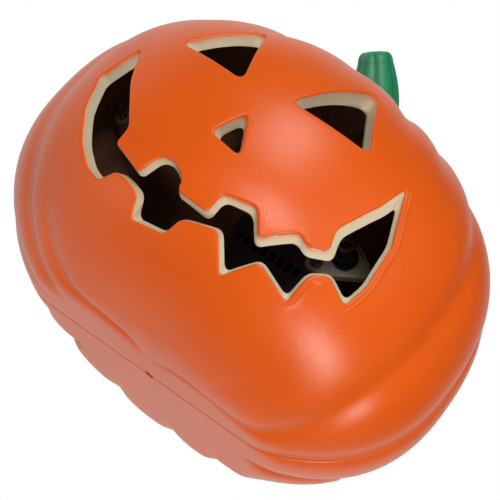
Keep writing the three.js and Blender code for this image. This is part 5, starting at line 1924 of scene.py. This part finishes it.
@dataclass
class Studio:
    """The floor, the lamps, the backdrop and the camera."""

    centre: Vector
    azimuth: float = 19.0
    below: float = 20.0
    roll: float = 39.64
    distance: float = 0.552
    lens: float = 82.8
    shift: Pair = (0.011, 0.0192)
    sensor: float = 36.0
    clipping: Pair = (0.01, 50.0)
    lamp_tint: Colour = (1.0, 0.98, 0.95)
    floor_size: float = 3.0
    floor_shades: tuple[Colour, Colour] = ((0.83, 0.82, 0.80), (0.87, 0.865, 0.85))
    floor_drop: float = 0.2 * MM
    world_for_lens: float = 1.0
    world_for_light: float = 0.38
    light_tint: Colour = (1.0, 0.985, 0.965)
    mirror_tint: Colour = (1.0, 0.98, 0.96)
    world_behind: float = 0.78
    world_before: float = 0.04
    dark_side: Triple = (0.58, -0.06, 0.95)
    dark_edge: Pair = (-0.55, -0.18)

    def axes(self) -> tuple[Vector, Vector, Vector]:
        """Returns the image's right and up directions and the direction back to the camera."""
        azimuth, below, roll = (math.radians(value) for value in (self.azimuth, self.below, self.roll))
        ahead = Vector((math.sin(azimuth), -math.cos(azimuth), 0.0))
        back = ahead * math.cos(below) - Vector((0.0, 0.0, math.sin(below)))
        level = Vector((math.cos(azimuth), math.sin(azimuth), 0.0))
        upright = back.cross(level)
        right = level * math.cos(roll) + upright * math.sin(roll)
        up = upright * math.cos(roll) - level * math.sin(roll)
        return right, up, back

    def along_image(self, right: float, up: float, back: float) -> Vector:
        """Returns the vector that goes so far to the image's right, up and back to the camera."""
        axes = self.axes()
        return axes[0] * right + axes[1] * up + axes[2] * back

    def camera(self) -> None:
        """Places the camera at the photo's angle."""
        right, up, back = self.axes()
        data = bpy.data.cameras.new("photo_camera")
        data.sensor_width = self.sensor
        data.lens = self.lens
        data.shift_x, data.shift_y = self.shift
        data.clip_start, data.clip_end = self.clipping
        camera = bpy.data.objects.new("photo_camera", data)
        matrix = Matrix((right, up, back)).transposed().to_4x4()
        matrix.translation = self.centre + back * self.distance
        camera.matrix_world = matrix
        bpy.context.scene.collection.objects.link(camera)
        bpy.context.scene.camera = camera

    def floor(self) -> None:
        """Makes the pale floor, which only the camera sees, and only from above."""
        mesh = bmesh.new()
        bmesh.ops.create_grid(mesh, x_segments=2, y_segments=2, size=self.floor_size)
        for vert in mesh.verts:
            vert.co.z -= self.floor_drop
        floor = finished("studio_floor", mesh)
        material = bpy.data.materials.new("pale_floor")
        tree = empty_tree(material)
        shade = tree.blend(tree.noise(tree.place(), 6.0, 3.0), *self.floor_shades)
        surface = tree.node("ShaderNodeBsdfDiffuse", {"Color": shade}).outputs[0]
        clear = tree.node("ShaderNodeBsdfTransparent").outputs[0]
        rays = tree.node("ShaderNodeLightPath").outputs
        behind = tree.node("ShaderNodeNewGeometry").outputs["Backfacing"]
        unseen = tree.maths("MAXIMUM", behind, tree.maths("SUBTRACT", 1.0, rays["Is Camera Ray"]))
        mixed = tree.node("ShaderNodeMixShader", {0: unseen, 1: surface, 2: clear})
        tree.node("ShaderNodeOutputMaterial", {"Surface": mixed.outputs[0]})
        floor.data.materials.append(material)

    def world(self) -> None:
        """Makes the surroundings: white to the lens, dimmer as a light, and bright on one side in mirrors."""
        world = bpy.data.worlds.new("studio_world")
        tree = empty_tree(world)
        rays = tree.node("ShaderNodeLightPath").outputs
        ahead = tree.node("ShaderNodeTexCoord").outputs["Generated"]
        axis = self.along_image(*self.dark_side).normalized()
        facing = tree.node("ShaderNodeVectorMath", {0: ahead, 1: axis}, operation="DOT_PRODUCT")
        mirrored = tree.span(facing.outputs["Value"], *self.dark_edge, self.world_behind, self.world_before)
        lens, light, mirror = (
            tree.node("ShaderNodeBackground", {"Color": (*tint, 1.0), "Strength": strength}).outputs[0]
            for tint, strength in (((1.0, 1.0, 1.0), self.world_for_lens),
                                   (self.light_tint, self.world_for_light),
                                   (self.mirror_tint, mirrored)))
        soft = tree.node("ShaderNodeMixShader", {0: rays["Is Glossy Ray"], 1: light, 2: mirror}).outputs[0]
        mixed = tree.node("ShaderNodeMixShader", {0: rays["Is Camera Ray"], 1: soft, 2: lens}).outputs[0]
        tree.node("ShaderNodeOutputWorld", {"Surface": mixed})
        bpy.context.scene.world = world

    def lamp(self, lamp: Lamp) -> None:
        """Places a lamp."""
        data = bpy.data.lights.new(lamp.name, "AREA")
        data.shape = "DISK"
        data.size = lamp.size
        data.energy = lamp.power
        data.color = self.lamp_tint
        offset = self.along_image(lamp.right, lamp.up, lamp.back)
        placed = bpy.data.objects.new(lamp.name, data)
        placed.location = self.centre + offset
        placed.rotation_euler = (-offset).to_track_quat("-Z", "Y").to_euler()
        bpy.context.scene.collection.objects.link(placed)

    def build(self) -> None:
        """Builds the studio."""
        bpy.context.scene.view_settings.view_transform = "Standard"
        self.camera()
        self.floor()
        self.world()
        for lamp in LAMPS:
            self.lamp(lamp)


@dataclass
class PumpkinShells:
    """The two moulded halves of the pumpkin."""

    form: PumpkinForm

    def dress(self, dresser: Dresser, finishes: dict[str, bpy.types.Material]) -> None:
        """Builds both halves and puts them on the frame."""
        for half, cut in ((Half.FRONT, FaceCut(self.form)), (Half.BACK, BackCut(self.form))):
            piece = HalfShell(self.form, half, cut.openings()).build()
            dresser.place(piece, LAMP_BODY, "shell_plastic", finishes["shell"], [half.value])


@dataclass
class Lantern:
    """The whole lamp."""

    frame: object
    finishes: dict[str, bpy.types.Material]
    form: PumpkinForm
    stem_foot: float = 80 * MM

    def dress(self) -> None:
        """Dresses every sub-assembly."""
        dresser = Dresser(self.frame)
        PumpkinShells(self.form).dress(dresser, self.finishes)
        crown = self.form.centre + Vector((0, 0, self.stem_foot))
        dresser.place(Stem(crown).build(), LAMP_BODY, "stem_plastic", self.finishes["stem"], ["stem"])
        plan = {
            "battery_case": (LAMP_BODY, "unit_plastic", "unit", 0.8),
            "battery_door": (DOOR_BODY, "shell_plastic", "door", 0.5),
            "lamp_housing": (LAMP_BODY, "unit_plastic", "unit", 1.0),
            "lamp_bracket": (LAMP_BODY, "bracket_plastic", "bracket", 0.6),
            "lamp_holder": (LAMP_BODY, "holder_plastic", "holder", 0.8),
            "switch_body": (LAMP_BODY, "switch_plastic", "switch", 0.4),
            "switch_knob": (KNOB_BODY, "switch_plastic", "switch", 0.3),
        }
        for node, (body, slot, finish, width) in plan.items():
            dresser.rounded(node, body, slot, self.finishes[finish], width * MM)
        self.dress_bulb(dresser)
        for name, node in self.frame["nodes"].items():
            if node.hide_render:
                continue
            slot, finish = self.plain(name)
            if "screw" in name:
                turned = CrossScrew(Turned(node, Y_AXIS))
            elif name.startswith("battery_"):
                turned = Cell(Turned(node, X_AXIS))
            else:
                dresser.node(name, slot, self.finishes[finish])
                continue
            body = DOOR_BODY if name == "door_screw" else LAMP_BODY
            dresser.place(turned.build(name + "_dressed"), body, slot, self.finishes[finish], [name])

    def dress_bulb(self, dresser: Dresser) -> None:
        """Builds the bulb's glass and filament."""
        bulb = Bulb(Turned(self.frame["nodes"]["bulb"], Y_AXIS))
        glass = bulb.build_glass("bulb_dressed")
        dresser.place(glass, LAMP_BODY, "bulb_glass", self.finishes["glass"], ["bulb"])
        filament = bulb.build_filament("bulb_filament")
        dresser.place(filament, LAMP_BODY, "contact_steel", self.finishes["filament"])

    @staticmethod
    def plain(name: str) -> tuple[str, str]:
        """Returns the slot and the finish of a screw, a cell or a piece that keeps its CAD shape."""
        words = {
            "screw": ("screw_steel", "steel"),
            "battery": ("cell_wrap", "cell"),
            "red": ("wire_red", "wire_red"),
            "lead": ("wire_black", "wire_black"),
            "board": ("board", "board"),
            "chip": ("component_black", "component"),
            "capacitor": ("component_black", "component"),
            "base": ("brass", "brass"),
        }
        for word, found in words.items():
            if word in name:
                return found
        return "contact_steel", "contact"


def main() -> None:
    """Builds the lamp's looks and the studio."""
    logging.basicConfig(level=logging.INFO, format="%(name)s %(message)s")
    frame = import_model()
    finishes = Finishes(Effects()).build()
    form = PumpkinForm(Vector(PUMPKIN_CENTRE))
    Lantern(frame, finishes, form).dress()
    Studio(form.centre).build()


if __name__ == "__main__":
    main()
